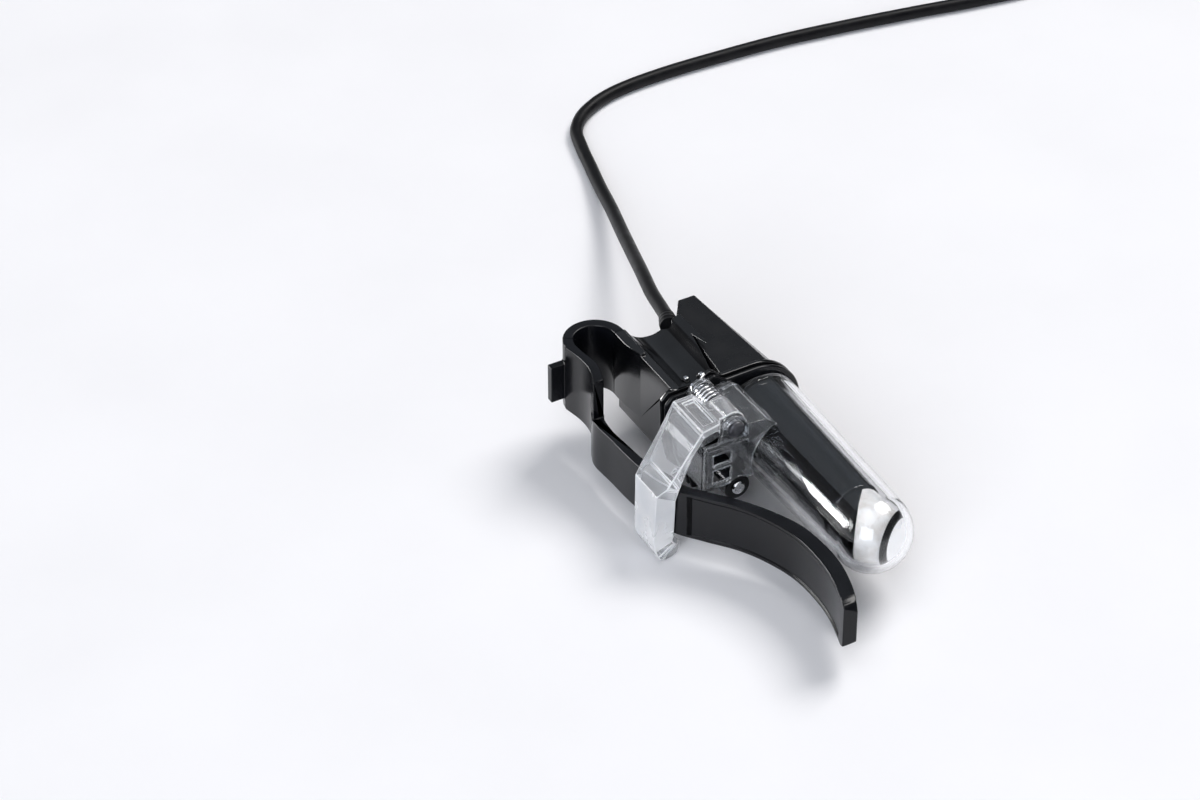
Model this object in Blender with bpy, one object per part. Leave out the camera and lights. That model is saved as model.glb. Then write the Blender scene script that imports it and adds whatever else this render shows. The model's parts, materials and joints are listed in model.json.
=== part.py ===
"""Clip-on pulse oximeter probe on a thin lead.

A clear capsule with the optics in its nose stands out of a black collar. A black arm on a U-shaped
living spring runs beside the capsule, and a clear hinged keeper wraps round the arm and holds it shut.

Drawing axes, in millimetres: +X towards the capsule, -Y towards its nose, +Z up. The table is at TABLE_Z.
`at` turns drawing millimetres into metres about the middle of the probe's footprint on the table.
"""

import math

import bmesh
import bpy
from mathutils import Matrix, Vector

MM = 0.001
FOOTPRINT_X, FOOTPRINT_Y = 4.225, -26.3
TABLE_Z = -2.2
GAP = 0.1
ROUND = 32

# Capsule and core, turned about one axis along Y.
AXIS_X, AXIS_Z = 10.8, 6.0
CAPSULE_REAR_Y, NOSE_Y = -17.5, -42.0
CAPSULE_BASE_R, NOSE_R, CAPSULE_WALL = 5.4, 4.77, 0.8
CORE_REAR_Y, CORE_FRONT_Y = -17.8, -39.0
CORE_BASE_R, CORE_FRONT_R, CORE_BORE_R, CORE_STUB_R = 4.2, 3.65, 1.5, 3.0

# Emitter head in front of the core, as (radius, Y) outlines, and what it holds.
END_RING = [(CORE_BORE_R, -39.1), (3.6, -39.1), (3.6, -40.2), (3.3, -40.3), (3.3, -40.9), (CORE_BORE_R, -40.9)]
CUP = [
    (2.6, -41.0), (3.3, -41.0), (3.4, -42.0), (3.3, -43.0), (3.0, -43.8), (2.8, -44.25),
    (2.4, -44.25), (1.8, -42.1), (1.8, -41.95), (2.6, -41.95),
]
RETAINING_RING = [(2.4, -44.35), (2.9, -44.35), (2.75, -44.7), (2.4, -44.7)]
LENS = [(0.0, -44.8), (2.45, -44.8), (2.15, -45.1), (1.5, -45.45), (0.0, -45.7)]
BOARD_Y, BOARD_T, BOARD_R = -41.45, 0.4, 2.5
CHIP_SIZE, CHIP_HEIGHT, CHIP_X, CHIP_Z = 0.8, 0.45, 0.6, 0.75
BARRIER_HEIGHT, BARRIER_HALF_X, BARRIER_HALF_Z = 1.2, 1.4, 0.15

# Keyhole-shaped collar: front plate, gasket, rear plate.
COLLAR_FRONT_Y, PLATE_T, GASKET_T, GASKET_INSET = -17.3, 0.55, 0.25, 0.35
COLLAR_X, COLLAR_Z, COLLAR_R, COLLAR_LEFT_X = 10.7, 6.1, 6.05, -1.2
CORE_HOLE_R = 3.15
FOOT_X, FOOT_SLOPE, LEFT_BEVEL = (2.0, 10.0), 0.5, 0.8
HUMP = [(6.4, 0.0), (5.9, 0.8), (4.9, 1.0), (4.2, 0.35), (3.8, 0.0)]

# Tail shell behind the collar.
TAIL_FRONT_Y, TAIL_REAR_Y, TAIL_WALL = -15.65, 0.5, 0.9
TAIL_FRONT = [
    (7.1, 11.6), (13.0, 11.6), (15.6, 8.7), (15.6, 3.5), (13.2, 0.6), (8.2, 0.6), (6.7, 3.5), (6.7, 8.7),
]
TAIL_REAR = [
    (9.55, 10.4), (12.9, 10.4), (14.6, 8.2), (14.6, 4.0), (13.0, 1.8), (10.2, 1.8), (9.2, 4.0), (9.2, 8.2),
]
TAIL_NOTCH = [(8.0, -3.6), (9.8, -1.0), (10.8, 0.55), (10.8, 2.0), (8.0, 2.0)]

# Clip root: the wall and saddle between the spring and the tail.
ROOT_REAR_Y, ROOT_WALL_X, ROOT_RIGHT_X = -3.3, 0.3, 8.75
ROOT_LOW = [(0.3, 1.6), (1.9, 1.6), (3.2, 0.6), (6.8, 0.6), (8.75, 3.0)]
SADDLE = [(1.4, 12.1), (2.3, 10.9), (3.6, 10.15), (5.2, 10.0), (6.6, 10.5), (7.7, 11.3), (8.75, 11.7)]
PINS, LOCATING_PIN_R, LOCATING_PIN_Z = [(4.0, -12.9), (5.9, -13.1)], 0.35, (8.3, 10.45)

# Living spring and arm.
LOOP_X, LOOP_Y, LOOP_OUTER_R, LOOP_INNER_R = -2.8, -3.8, 3.75, 2.5
LOOP_LOW_Z, LOOP_HIGH_Z, LOOP_END_DEG, ARM_START_DEG = 3.6, 12.6, 146.0, 148.0
LEG_OUTER = [(-6.55, -3.8), (-6.15, -5.9), (-6.1, -7.7), (-6.4, -9.4), (-7.1, -11.0)]
LEG_INNER = [(-5.3, -3.8), (-5.2, -5.4), (-4.9, -7.1), (-5.0, -8.7), (-5.7, -11.0)]
ARM_LOW_Z, ARM_HIGH_Z, ARM_REAR_Y, TIP_CORNER_R = 1.0, 7.3, -9.6, 2.0
ARM_OUTER = [
    (-6.6, -9.6), (-7.25, -11.6), (-7.1, -15.0), (-6.8, -20.5), (-5.6, -25.9), (-3.2, -29.4),
    (-0.7, -32.6), (1.0, -35.9), (2.2, -39.9), (2.4, -44.2), (1.9, -48.1), (0.6, -52.6),
]
ARM_INNER = [
    (-5.2, -9.6), (-5.9, -11.6), (-6.1, -15.0), (-5.6, -19.8), (-4.2, -25.6), (-2.4, -28.3),
    (0.1, -31.4), (2.2, -34.8), (3.8, -38.6), (4.3, -42.4), (4.2, -46.0), (3.4, -49.6), (2.1, -53.1),
]
TAB_X, TAB_Y, TAB_Z = (-8.3, -5.7), (-3.35, -2.4), (5.0, 10.0)

# Hinge of the clear keeper, along Y.
HINGE_X, HINGE_Z = 3.0, 12.2
KNUCKLE_R, KNUCKLE_Y = 1.7, (-24.8, -21.3)
PIN_R, PIN_HOLE_R, PIN_Y = 0.85, 0.95, (-25.6, -17.55)
PIN_HEAD = [(1.05, -25.6), (1.05, -25.85), (0.8, -26.1), (0.0, -26.2)]
SPRING_R, SPRING_WIRE_R, SPRING_TURNS, SPRING_Y = 1.25, 0.2, 4, (-20.95, -18.75)

# Keeper stations from the hinge round to the foot: outer point, inner point (X, Z), and Y span.
KEEPER = [
    ((2.2, 13.6), (1.8, 12.7), (-24.8, -21.3)),
    ((1.35, 13.7), (1.25, 12.85), (-24.8, -21.3)),
    ((0.9, 13.75), (0.9, 12.85), (-25.7, -19.4)),
    ((-1.5, 13.6), (-1.3, 12.7), (-26.0, -19.3)),
    ((-4.2, 11.05), (-3.1, 11.3), (-26.7, -20.6)),
    ((-6.9, 8.5), (-5.2, 7.9), (-27.4, -21.6)),
    ((-7.9, 7.2), (-5.4, 6.0), (-26.9, -22.1)),
    ((-8.1, 0.6), (-5.4, 0.75), (-26.6, -22.2)),
    ((-8.0, -0.6), (-5.8, 0.3), (-26.6, -22.3)),
    ((-7.6, -1.5), (-5.6, 0.1), (-26.4, -22.6)),
    ((-6.7, -2.1), (-5.2, -0.15), (-26.0, -23.0)),
    ((-5.0, -2.1), (-4.8, -0.4), (-25.7, -23.3)),
    ((-4.2, -1.8), (-4.2, -0.8), (-25.4, -23.6)),
]
KEEPER_POCKET_X, KEEPER_POCKET_Y, KEEPER_POCKET_Z = (-0.8, 0.7), (-24.9, -20.3), 13.25

# Clear bracket between the collar, the capsule and the hinge.
BRACKET_BACK_Y, BRACKET_FRONT_Y = (-18.3, -17.45), (-25.5, -24.95)
BRACKET_LEFT_X, BRACKET_WALL, EAR_R = -0.9, 0.6, 1.6
BRACKET_TOP = [(4.6, 12.2), (1.4, 12.2), (1.0, 10.6), (BRACKET_LEFT_X, 10.6)]
BRACKET_BACK = [(BRACKET_LEFT_X, 1.0), (7.4, 1.0), (7.4, 11.2), *BRACKET_TOP]
BRACKET_FRONT = [(BRACKET_LEFT_X, 4.4), (6.5, 4.4), (8.4, 10.9), (7.0, 12.0), *BRACKET_TOP]
BRACKET_SADDLE = [(5.0, 9.2), (8.3, 10.4), (8.4, 10.9), (7.0, 12.0), (5.0, 12.0)]
WEB_RIGHT_X, WEB_Z = 5.3, (9.75, 10.3)
WINDOWS_X, WINDOWS_Z = (0.3, 2.7), [(4.95, 6.9), (7.5, 9.1)]
POST_X, POST_Z, POST_R, POST_Y = 3.7, 3.2, 1.6, (-25.2, -17.45)
SCREW_R, SCREW_HEAD_R, SCREW_Y = 0.45, 0.85, (-25.55, -20.5)
SLOT_LONG, SLOT_SHORT = 0.55, 0.12

# Lead: where it leaves, its route along the table, and its stored coil.
LEAD_R, WIRE_R, WIRE_SPREAD = 0.85, 0.22, 0.42
LEAD_Z = TABLE_Z + LEAD_R
EXIT = (7.5, -3.2, 10.1)
CHANNEL_R = 1.1
RELIEF_LENGTH, RELIEF_BASE_R = 2.4, 1.1
CLAMP_POINT, CLAMP_SIZE = (10.8, -9.6, 7.7), (3.0, 2.0, 3.2)
LEAD_ROUTE = [
    (8.45, -0.85, 9.7), (9.15, 1.6, 9.1), (10.45, 6.2, 8.0), (12.5, 12.0, 6.5), (14.95, 18.7, 4.4),
    (17.5, 25.7, 2.3), (19.9, 32.5, 0.6), (21.9, 39.0, -0.7), (23.4, 44.0, -1.25), (24.6, 48.5, LEAD_Z),
    (26.0, 52.3, LEAD_Z), (29.2, 55.4, LEAD_Z), (34.3, 57.4, LEAD_Z), (41.6, 58.1, LEAD_Z),
    (50.7, 57.9, LEAD_Z), (60.0, 57.3, LEAD_Z), (69.5, 56.0, LEAD_Z), (79.0, 54.4, LEAD_Z),
    (88.5, 52.6, LEAD_Z), (97.5, 51.6, LEAD_Z), (105.5, 53.4, LEAD_Z), (111.2, 57.6, LEAD_Z),
]
LEAD_POINTS = 62
COIL_X, COIL_Y, COIL_R = 106.0, 72.0, 10.0
COIL_WIDE, COIL_HIGH, COIL_SOFT = 5.6, 6.9, 1.0
TIE_T, TIE_WIDE, TIE_ROOM = 0.4, 2.6, 0.15

# Plug at the lead's end, as (radius, Y) outlines from its middle.
LEAD_END_DEG, LEAD_END_LENGTH = 118.0, 4.6
PLUG_R, PLUG_BOOT_Y, BOOT_R, SHELL_R, SHELL_REAR_Y = 4.2, 11.0, 2.4, 3.3, -5.6
PLUG_BOOT = [(LEAD_R + 0.1, PLUG_BOOT_Y), (1.6, PLUG_BOOT_Y - 0.4), (BOOT_R, 6.1), (BOOT_R, 5.6)]
PLUG_BODY = [(2.6, 5.4), (3.6, 5.0), (PLUG_R, 3.6), (PLUG_R, -5.0), (3.7, -5.5)]
PLUG_SHELL = [
    (SHELL_R, SHELL_REAR_Y), (SHELL_R, -13.0), (2.9, -13.0), (2.9, -6.4), (0.6, -6.4), (0.6, SHELL_REAR_Y),
]
CONTACT_R, CONTACT_RING_R, CONTACT_Y = 0.3, 1.6, (-12.0, -6.5)


def at(x, y, z=0.0):
    """A drawing point in metres about the footprint's middle, with the table at height 0."""
    return Vector(((x - FOOTPRINT_X) * MM, (y - FOOTPRINT_Y) * MM, (z - TABLE_Z) * MM))


def material(name, colour, roughness, metallic=0.0, transmission=0.0):
    made = bpy.data.materials.new(name)
    made.use_nodes = True
    shader = made.node_tree.nodes["Principled BSDF"]
    shader.inputs["Base Color"].default_value = (*colour, 1.0)
    shader.inputs["Roughness"].default_value = roughness
    shader.inputs["Metallic"].default_value = metallic
    shader.inputs["Transmission Weight"].default_value = transmission
    made.diffuse_color = (*colour, 1.0)
    return made


def arc(x, y, radius, start, end, steps):
    """Points on an arc, with angles in degrees."""
    angles = [math.radians(start + (end - start) * i / steps) for i in range(steps + 1)]
    return [(x + radius * math.cos(a), y + radius * math.sin(a)) for a in angles]


def smooth(points, steps):
    """A Catmull-Rom curve through the points, with a number of steps between neighbours."""
    points = [Vector(p) for p in points]
    padded = [2 * points[0] - points[1], *points, 2 * points[-1] - points[-2]]
    curve = []
    for a, b, c, d in zip(padded, padded[1:], padded[2:], padded[3:]):
        for i in range(steps):
            t = i / steps
            bend = (2 * a - 5 * b + 4 * c - d) * t**2 + (3 * b - a - 3 * c + d) * t**3
            curve.append(0.5 * (2 * b + (c - a) * t + bend))
    return [*curve, points[-1]]


def even(points, count):
    """The polyline's points respaced to an even step."""
    lengths = [0.0]
    for a, b in zip(points, points[1:]):
        lengths.append(lengths[-1] + (b - a).length)
    spaced, k = [], 0
    for i in range(count):
        want = lengths[-1] * i / (count - 1)
        while k < len(points) - 2 and lengths[k + 1] < want:
            k += 1
        spaced.append(points[k].lerp(points[k + 1], (want - lengths[k]) / (lengths[k + 1] - lengths[k])))
    return spaced


def finish(name, bm, look=None):
    """A mesh object from a bmesh in metres, with its faces pointing out."""
    bmesh.ops.recalc_face_normals(bm, faces=bm.faces)
    mesh = bpy.data.meshes.new(name)
    bm.to_mesh(mesh)
    bm.free()
    made = bpy.data.objects.new(name, mesh)
    bpy.context.collection.objects.link(made)
    if look:
        mesh.materials.append(look)
    return made


def skin(bm, rings, closed_ends=True):
    """Bridge neighbouring rings of vertices, where a ring of one vertex is a pole."""
    for a, b in zip(rings, rings[1:]):
        count = max(len(a), len(b))
        if count == 1:
            continue
        for i in range(count):
            j = (i + 1) % count
            corners = [a[i % len(a)], a[j % len(a)], b[j % len(b)], b[i % len(b)]]
            bm.faces.new(list(dict.fromkeys(corners)))
    if closed_ends:
        bm.faces.new(rings[0])
        bm.faces.new(rings[-1][::-1])


def prism(name, axis, outline, low, high, look=None):
    """An outline in the plane across an axis, extruded along it. X takes (y, z), Y (x, z) and Z (x, y)."""
    order = {"X": (2, 0, 1), "Y": (0, 2, 1), "Z": (0, 1, 2)}[axis]
    bm = bmesh.new()
    rings = []
    for far in (low, high):
        corners = [(u, v, far) for u, v in outline]
        rings.append([bm.verts.new(at(*(corner[k] for k in order))) for corner in corners])
    skin(bm, rings)
    return finish(name, bm, look)


def block(name, x, y, z, look=None):
    """A box between pairs of X, Y and Z."""
    return prism(name, "Z", [(x[0], y[0]), (x[1], y[0]), (x[1], y[1]), (x[0], y[1])], z[0], z[1], look)


def turned(name, profile, x, z, look=None, sides=ROUND, hollow=False):
    """A profile of (radius, y) turned about an axis along Y. A hollow one joins its last point to its first."""
    bm = bmesh.new()
    rings = []
    for radius, y in profile:
        turns = sides if radius else 1
        angles = [2 * math.pi * i / turns for i in range(turns)]
        rings.append([bm.verts.new(at(x + radius * math.cos(a), y, z + radius * math.sin(a))) for a in angles])
    skin(bm, [*rings, rings[0]] if hollow else rings, closed_ends=False)
    if not hollow:
        for ring in (rings[0], rings[-1]):
            if len(ring) > 1:
                bm.faces.new(ring)
    made = finish(name, bm, look)
    made.data.shade_smooth()
    made.data.set_sharp_from_angle(angle=math.radians(35))
    return made


def rod(name, x, z, radius, y, look=None, sides=ROUND):
    """A plain cylinder along Y."""
    return turned(name, [(radius, y[0]), (radius, y[1])], x, z, look, sides)


def tube(name, points, radius, look=None, sides=8):
    """A round bar along points in metres."""
    bm = bmesh.new()
    rings, side = [], None
    for i, here in enumerate(points):
        along = (points[min(i + 1, len(points) - 1)] - points[max(i - 1, 0)]).normalized()
        side = side or along.orthogonal()
        side = (side - along * side.dot(along)).normalized()
        up = along.cross(side)
        angles = [2 * math.pi * k / sides for k in range(sides)]
        rings.append([bm.verts.new(here + radius * (math.cos(a) * side + math.sin(a) * up)) for a in angles])
    skin(bm, rings)
    return finish(name, bm, look)


def combine(target, operation, *tools):
    """Apply a Boolean with each tool in turn, and remove the tools."""
    for tool in tools:
        modifier = target.modifiers.new(operation, "BOOLEAN")
        modifier.operation = operation
        modifier.solver = "EXACT"
        modifier.object = tool
        evaluated = target.evaluated_get(bpy.context.evaluated_depsgraph_get())
        mesh = bpy.data.meshes.new_from_object(evaluated)
        target.modifiers.clear()
        mesh.name = target.name
        target.data = mesh
        bpy.data.objects.remove(tool)
    return target


def cut(target, *tools):
    return combine(target, "DIFFERENCE", *tools)


def join(target, *tools):
    return combine(target, "UNION", *tools)


def capsule_r(y):
    """The capsule's outer radius along its straight taper."""
    t = (y - CAPSULE_REAR_Y) / (NOSE_Y - CAPSULE_REAR_Y)
    return CAPSULE_BASE_R + (NOSE_R - CAPSULE_BASE_R) * t


def dome(radius, steps):
    """Nose profile points from its equator to its pole."""
    angles = [math.pi / 2 * i / steps for i in range(steps)]
    return [(radius * math.cos(a), NOSE_Y - radius * math.sin(a)) for a in angles] + [(0.0, NOSE_Y - radius)]


def make_capsule(looks):
    inner_r = NOSE_R - CAPSULE_WALL
    profile = [(CAPSULE_BASE_R, CAPSULE_REAR_Y), *dome(NOSE_R, 6)]
    profile += [*reversed(dome(inner_r, 5)), (CAPSULE_BASE_R - CAPSULE_WALL, CAPSULE_REAR_Y)]
    turned("clear_capsule", profile, AXIS_X, AXIS_Z, looks["clear"], hollow=True)


def make_core(looks):
    """The black light core, its stepped end ring, and the emitter head with its chips."""
    stub_y = COLLAR_FRONT_Y + 2.2
    core = [
        (CORE_BORE_R, stub_y), (CORE_STUB_R, stub_y), (CORE_STUB_R, CORE_REAR_Y), (CORE_BASE_R, CORE_REAR_Y),
        (CORE_FRONT_R, CORE_FRONT_Y), (CORE_BORE_R, CORE_FRONT_Y),
    ]
    turned("light_core", core, AXIS_X, AXIS_Z, looks["gloss"], hollow=True)
    turned("core_end_ring", END_RING, AXIS_X, AXIS_Z, looks["black"], hollow=True)
    turned("reflector_cup", CUP, AXIS_X, AXIS_Z, looks["white"], hollow=True)
    turned("retaining_ring", RETAINING_RING, AXIS_X, AXIS_Z, looks["black"], hollow=True)
    turned("diffuser_lens", LENS, AXIS_X, AXIS_Z, looks["frost"])
    rod("emitter_board", AXIS_X, AXIS_Z, BOARD_R, (BOARD_Y, BOARD_Y - BOARD_T), looks["board"])
    face = BOARD_Y - BOARD_T - GAP
    make_chip("red_led", AXIS_X - CHIP_X, AXIS_Z + CHIP_Z, face, looks["red"])
    make_chip("infrared_led", AXIS_X + CHIP_X, AXIS_Z + CHIP_Z, face, looks["amber"])
    make_chip("photodiode", AXIS_X, AXIS_Z - CHIP_Z, face, looks["chip"])
    wide, high = BARRIER_HALF_X, BARRIER_HALF_Z
    block(
        "light_barrier", (AXIS_X - wide, AXIS_X + wide), (face - BARRIER_HEIGHT, face),
        (AXIS_Z - high, AXIS_Z + high), looks["black"],
    )


def make_chip(name, x, z, face, look):
    """A square chip standing forward of the board's face."""
    half = CHIP_SIZE / 2
    block(name, (x - half, x + half), (face - CHIP_HEIGHT, face), (z - half, z + half), look)


def keyhole(inset):
    """The collar's outline: round right end, flat left end, a hump on top and, with no inset, a foot below."""
    left, radius = COLLAR_LEFT_X + inset, COLLAR_R - inset
    low, high = COLLAR_Z - radius, COLLAR_Z + radius
    outline = [(left + LEFT_BEVEL, low)]
    if not inset:
        outline += [(FOOT_X[0], low), (FOOT_X[0] + FOOT_SLOPE, TABLE_Z)]
        outline += [(FOOT_X[1] - FOOT_SLOPE, TABLE_Z), (FOOT_X[1], low)]
    outline += arc(COLLAR_X, COLLAR_Z, radius, -90, 90, 20)
    outline += [(x, high + rise) for x, rise in HUMP]
    return [*outline, (left + LEFT_BEVEL, high), (left, high - LEFT_BEVEL), (left, low + LEFT_BEVEL)]


def core_hole():
    """A cutter for the hole through the collar that the core's stub stands in."""
    return rod("hole", AXIS_X, AXIS_Z, CORE_HOLE_R, (-20.0, -10.0))


def make_collar(looks):
    """Front plate and the gasket behind it, each with a hole for the core."""
    rear_y = COLLAR_FRONT_Y + PLATE_T
    cut(prism("collar_flange", "Y", keyhole(0.0), COLLAR_FRONT_Y, rear_y, looks["black"]), core_hole())
    gasket_y = rear_y + GAP
    outline = keyhole(GASKET_INSET)
    cut(prism("flange_gasket", "Y", outline, gasket_y, gasket_y + GASKET_T, looks["rubber"]), core_hole())


def tail_loft(name, grow, front_y, rear_y, look=None):
    """The tail's eight-sided taper, grown outwards by an amount."""
    bm = bmesh.new()
    rings = []
    for y in (front_y, rear_y):
        t = (y - TAIL_FRONT_Y) / (TAIL_REAR_Y - TAIL_FRONT_Y)
        corners = [Vector(a).lerp(Vector(b), t) for a, b in zip(TAIL_FRONT, TAIL_REAR)]
        middle = sum(corners, Vector((0.0, 0.0))) / len(corners)
        scale = 1 + grow / min(abs(c.x - middle.x) + abs(c.y - middle.y) * 0.2 for c in corners)
        grown = [middle + (c - middle) * scale for c in corners]
        rings.append([bm.verts.new(at(p.x, y, p.y)) for p in grown])
    skin(bm, rings)
    return finish(name, bm, look)


def lead_channel(radius):
    """The bore that carries the lead from its exit through the saddle to the clamp in the tail."""
    start, end = at(*EXIT), at(*CLAMP_POINT)
    along = (end - start).normalized() * MM
    return tube("channel", [start - along * 1.5, end + along * 1.5], radius * MM, sides=16)


def make_tail(looks):
    """Two half shells that meet on the capsule's axis plane."""
    halves = {"tail_shell_upper": (AXIS_Z + GAP / 2, 20.0), "tail_shell_lower": (-5.0, AXIS_Z - GAP / 2)}
    for name, z in halves.items():
        shell = tail_loft(name, 0.0, TAIL_FRONT_Y, TAIL_REAR_Y, looks["black"])
        cut(shell, tail_loft("inside", -TAIL_WALL, TAIL_FRONT_Y - 1.0, TAIL_REAR_Y - 2.2))
        cut(shell, prism("notch", "Z", TAIL_NOTCH, -5.0, 20.0), lead_channel(CHANNEL_R))
        combine(shell, "INTERSECT", block("half", (0.0, 20.0), (-20.0, 5.0), z))


def make_root(looks):
    """Rear collar plate, wall, saddle and the stub that the spring starts from, with the locating pins."""
    plate_y = COLLAR_FRONT_Y + PLATE_T + GASKET_T + 2 * GAP
    root = prism("clip_root", "Y", keyhole(0.0), plate_y, plate_y + PLATE_T, looks["black"])
    outline = [*ROOT_LOW, *reversed(SADDLE), (ROOT_WALL_X, 12.3)]
    body = prism("body", "Y", outline, plate_y + 0.2, ROOT_REAR_Y)
    spring_y, inner_x, outer_x = LOOP_Y - GAP, LOOP_X + LOOP_INNER_R, LOOP_X + LOOP_OUTER_R
    loop_room = [*arc(LOOP_X, spring_y, LOOP_OUTER_R + GAP, 0, 90, 10), (LOOP_X, spring_y)]
    cut(body, tail_loft("tail", 0.25, TAIL_FRONT_Y - 2.0, TAIL_REAR_Y + 2.0))
    cut(body, prism("room", "Z", loop_room, -1.0, 20.0))
    stub = [
        (ROOT_WALL_X + 0.4, -9.0), (ROOT_WALL_X, -9.0), (inner_x, -6.5), (inner_x, spring_y),
        (outer_x, spring_y), (outer_x, -9.0),
    ]
    join(root, body, prism("stub", "Z", stub, LOOP_LOW_Z, LOOP_HIGH_Z))
    cut(root, core_hole(), lead_channel(CHANNEL_R))
    for k, (x, y) in enumerate(PINS):
        cut(root, prism("hole", "Z", arc(x, y, LOCATING_PIN_R + GAP, 0, 330, 11), 8.0, 14.0))
        pin = arc(x, y, LOCATING_PIN_R, 0, 330, 11)
        prism(f"locating_pin_{k + 1}", "Z", pin, *LOCATING_PIN_Z, looks["steel"])


def make_loop(looks):
    """The U-shaped living spring from the root's stub round to the arm."""
    outer = arc(LOOP_X, LOOP_Y, LOOP_OUTER_R, 0, LOOP_END_DEG, 16)
    inner = arc(LOOP_X, LOOP_Y, LOOP_INNER_R, LOOP_END_DEG, 0, 16)
    prism("spring_loop", "Z", outer + inner, LOOP_LOW_Z, LOOP_HIGH_Z, looks["black"])


def strip(outer, inner, steps):
    """A closed plan outline between two smooth curves."""
    return [tuple(p) for p in smooth(outer, steps) + smooth(inner, steps)[::-1]]


def make_arm(looks):
    """Rear leg with its thumb tab, the step down, and the long curved arm with a rounded tip."""
    leg_outer = arc(LOOP_X, LOOP_Y, LOOP_OUTER_R, ARM_START_DEG, 174, 3) + LEG_OUTER
    leg_inner = arc(LOOP_X, LOOP_Y, LOOP_INNER_R, ARM_START_DEG, 174, 3) + LEG_INNER
    arm = prism("clip_arm", "Z", strip(ARM_OUTER, ARM_INNER, 3), ARM_LOW_Z, ARM_HIGH_Z, looks["black"])
    tip, corner = min(y for _, y in ARM_INNER) - 0.2, TIP_CORNER_R
    side = [
        (0.0, ARM_LOW_Z - 0.01), *arc(tip + corner, ARM_LOW_Z + corner, corner, 270, 180, 5),
        *arc(tip + corner, ARM_HIGH_Z - corner, corner, 180, 90, 5), (0.0, ARM_HIGH_Z + 0.01),
    ]
    combine(arm, "INTERSECT", prism("side", "X", side, -12.0, 8.0))
    leg = prism("leg", "Z", strip(leg_outer, leg_inner, 2), LOOP_LOW_Z, LOOP_HIGH_Z)
    return join(arm, leg, block("tab", TAB_X, TAB_Y, TAB_Z))


def make_keeper(looks):
    """Clear bail: a knuckle on the hinge pin, a ribbed top, a slanting facet and a leg outside the arm."""
    bm = bmesh.new()
    rings = []
    for outer, inner, (front, back) in KEEPER:
        corners = [(outer, back), (outer, front), (inner, front), (inner, back)]
        rings.append([bm.verts.new(at(p[0], y, p[1])) for p, y in corners])
    skin(bm, rings)
    keeper = finish("clear_keeper", bm, looks["clear"])
    join(keeper, rod("knuckle", HINGE_X, HINGE_Z, KNUCKLE_R, KNUCKLE_Y, sides=24))
    join(keeper, block("nub", (-5.4, -3.9), (-26.4, -25.5), (8.4, 9.1)))
    cut(keeper, rod("bore", HINGE_X, HINGE_Z, PIN_HOLE_R, (-30.0, -10.0), sides=24))
    cut(keeper, block("pocket", KEEPER_POCKET_X, KEEPER_POCKET_Y, (KEEPER_POCKET_Z, 20.0)))
    clearance = [(x - 0.15, y) for x, y in ARM_OUTER]
    swept = [tuple(p) for p in smooth(clearance, 3)] + [(3.0, ARM_OUTER[-1][1]), (3.0, ARM_OUTER[0][1])]
    return cut(keeper, prism("arm", "Z", swept, ARM_LOW_Z - 0.3, ARM_HIGH_Z + 0.2))


def make_bracket(looks):
    """Clear bracket: back plate, ladder front, left wall, web under the barrel and saddle on the capsule."""
    depth = (BRACKET_FRONT_Y[0] + 0.01, BRACKET_BACK_Y[1] - 0.01)
    left = BRACKET_LEFT_X
    bracket = prism("hinge_bracket", "Y", BRACKET_BACK, *BRACKET_BACK_Y, looks["clear"])
    join(
        bracket,
        prism("front", "Y", BRACKET_FRONT, *BRACKET_FRONT_Y),
        rod("ear", HINGE_X, HINGE_Z, EAR_R, BRACKET_FRONT_Y, sides=24),
        rod("ear", HINGE_X, HINGE_Z, EAR_R, BRACKET_BACK_Y, sides=24),
        prism("saddle", "Y", BRACKET_SADDLE, *depth),
        block("wall", (left + 0.01, left + BRACKET_WALL), depth, (4.41, 10.59)),
        block("web", (left + 0.02, WEB_RIGHT_X), depth, WEB_Z),
    )
    for window_z in WINDOWS_Z:
        cut(bracket, block("window", WINDOWS_X, (-27.0, -24.0), window_z))
    grown = [(CAPSULE_BASE_R + 0.2, -17.0), (capsule_r(-26.0) + 0.17, -26.0)]
    cut(
        bracket,
        turned("capsule", grown, AXIS_X, AXIS_Z),
        rod("bore", HINGE_X, HINGE_Z, PIN_HOLE_R, (-30.0, -10.0), sides=24),
        rod("post", POST_X, POST_Z, POST_R + GAP, (-30.0, -10.0), sides=24),
    )


def make_hinge(looks):
    """Pin with a rounded head, the torsion spring on it, and the post and screw that hold the bracket."""
    head = [(PIN_R, PIN_Y[1]), (PIN_R, PIN_Y[0]), *PIN_HEAD]
    turned("hinge_pin", head, HINGE_X, HINGE_Z, looks["pin"], sides=24)
    steps = 14
    coil = []
    for i in range(SPRING_TURNS * steps + 1):
        turn = 2 * math.pi * i / steps
        y = SPRING_Y[1] + (SPRING_Y[0] - SPRING_Y[1]) * i / (SPRING_TURNS * steps)
        coil.append(at(HINGE_X + SPRING_R * math.cos(turn), y, HINGE_Z + SPRING_R * math.sin(turn)))
    tube("keeper_spring", coil, SPRING_WIRE_R * MM, looks["steel"], sides=6)
    post = rod("bracket_post", POST_X, POST_Z, POST_R, POST_Y, looks["black"], sides=24)
    cut(post, rod("bore", POST_X, POST_Z, SCREW_R + GAP, (-27.0, -20.2), sides=16))
    head_y = POST_Y[0] - GAP
    shank = [(SCREW_R, SCREW_Y[1]), (SCREW_R, head_y)]
    head = [(SCREW_HEAD_R, head_y), (0.7, SCREW_Y[0]), (0.0, SCREW_Y[0])]
    screw = turned("bracket_screw", shank + head, POST_X, POST_Z, looks["steel"], sides=16)
    for wide, high in ((SLOT_LONG, SLOT_SHORT), (SLOT_SHORT, SLOT_LONG)):
        cross = block("cross", (POST_X - wide, POST_X + wide), (-26.0, -25.4), (POST_Z - high, POST_Z + high))
        cut(screw, cross)


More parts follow.
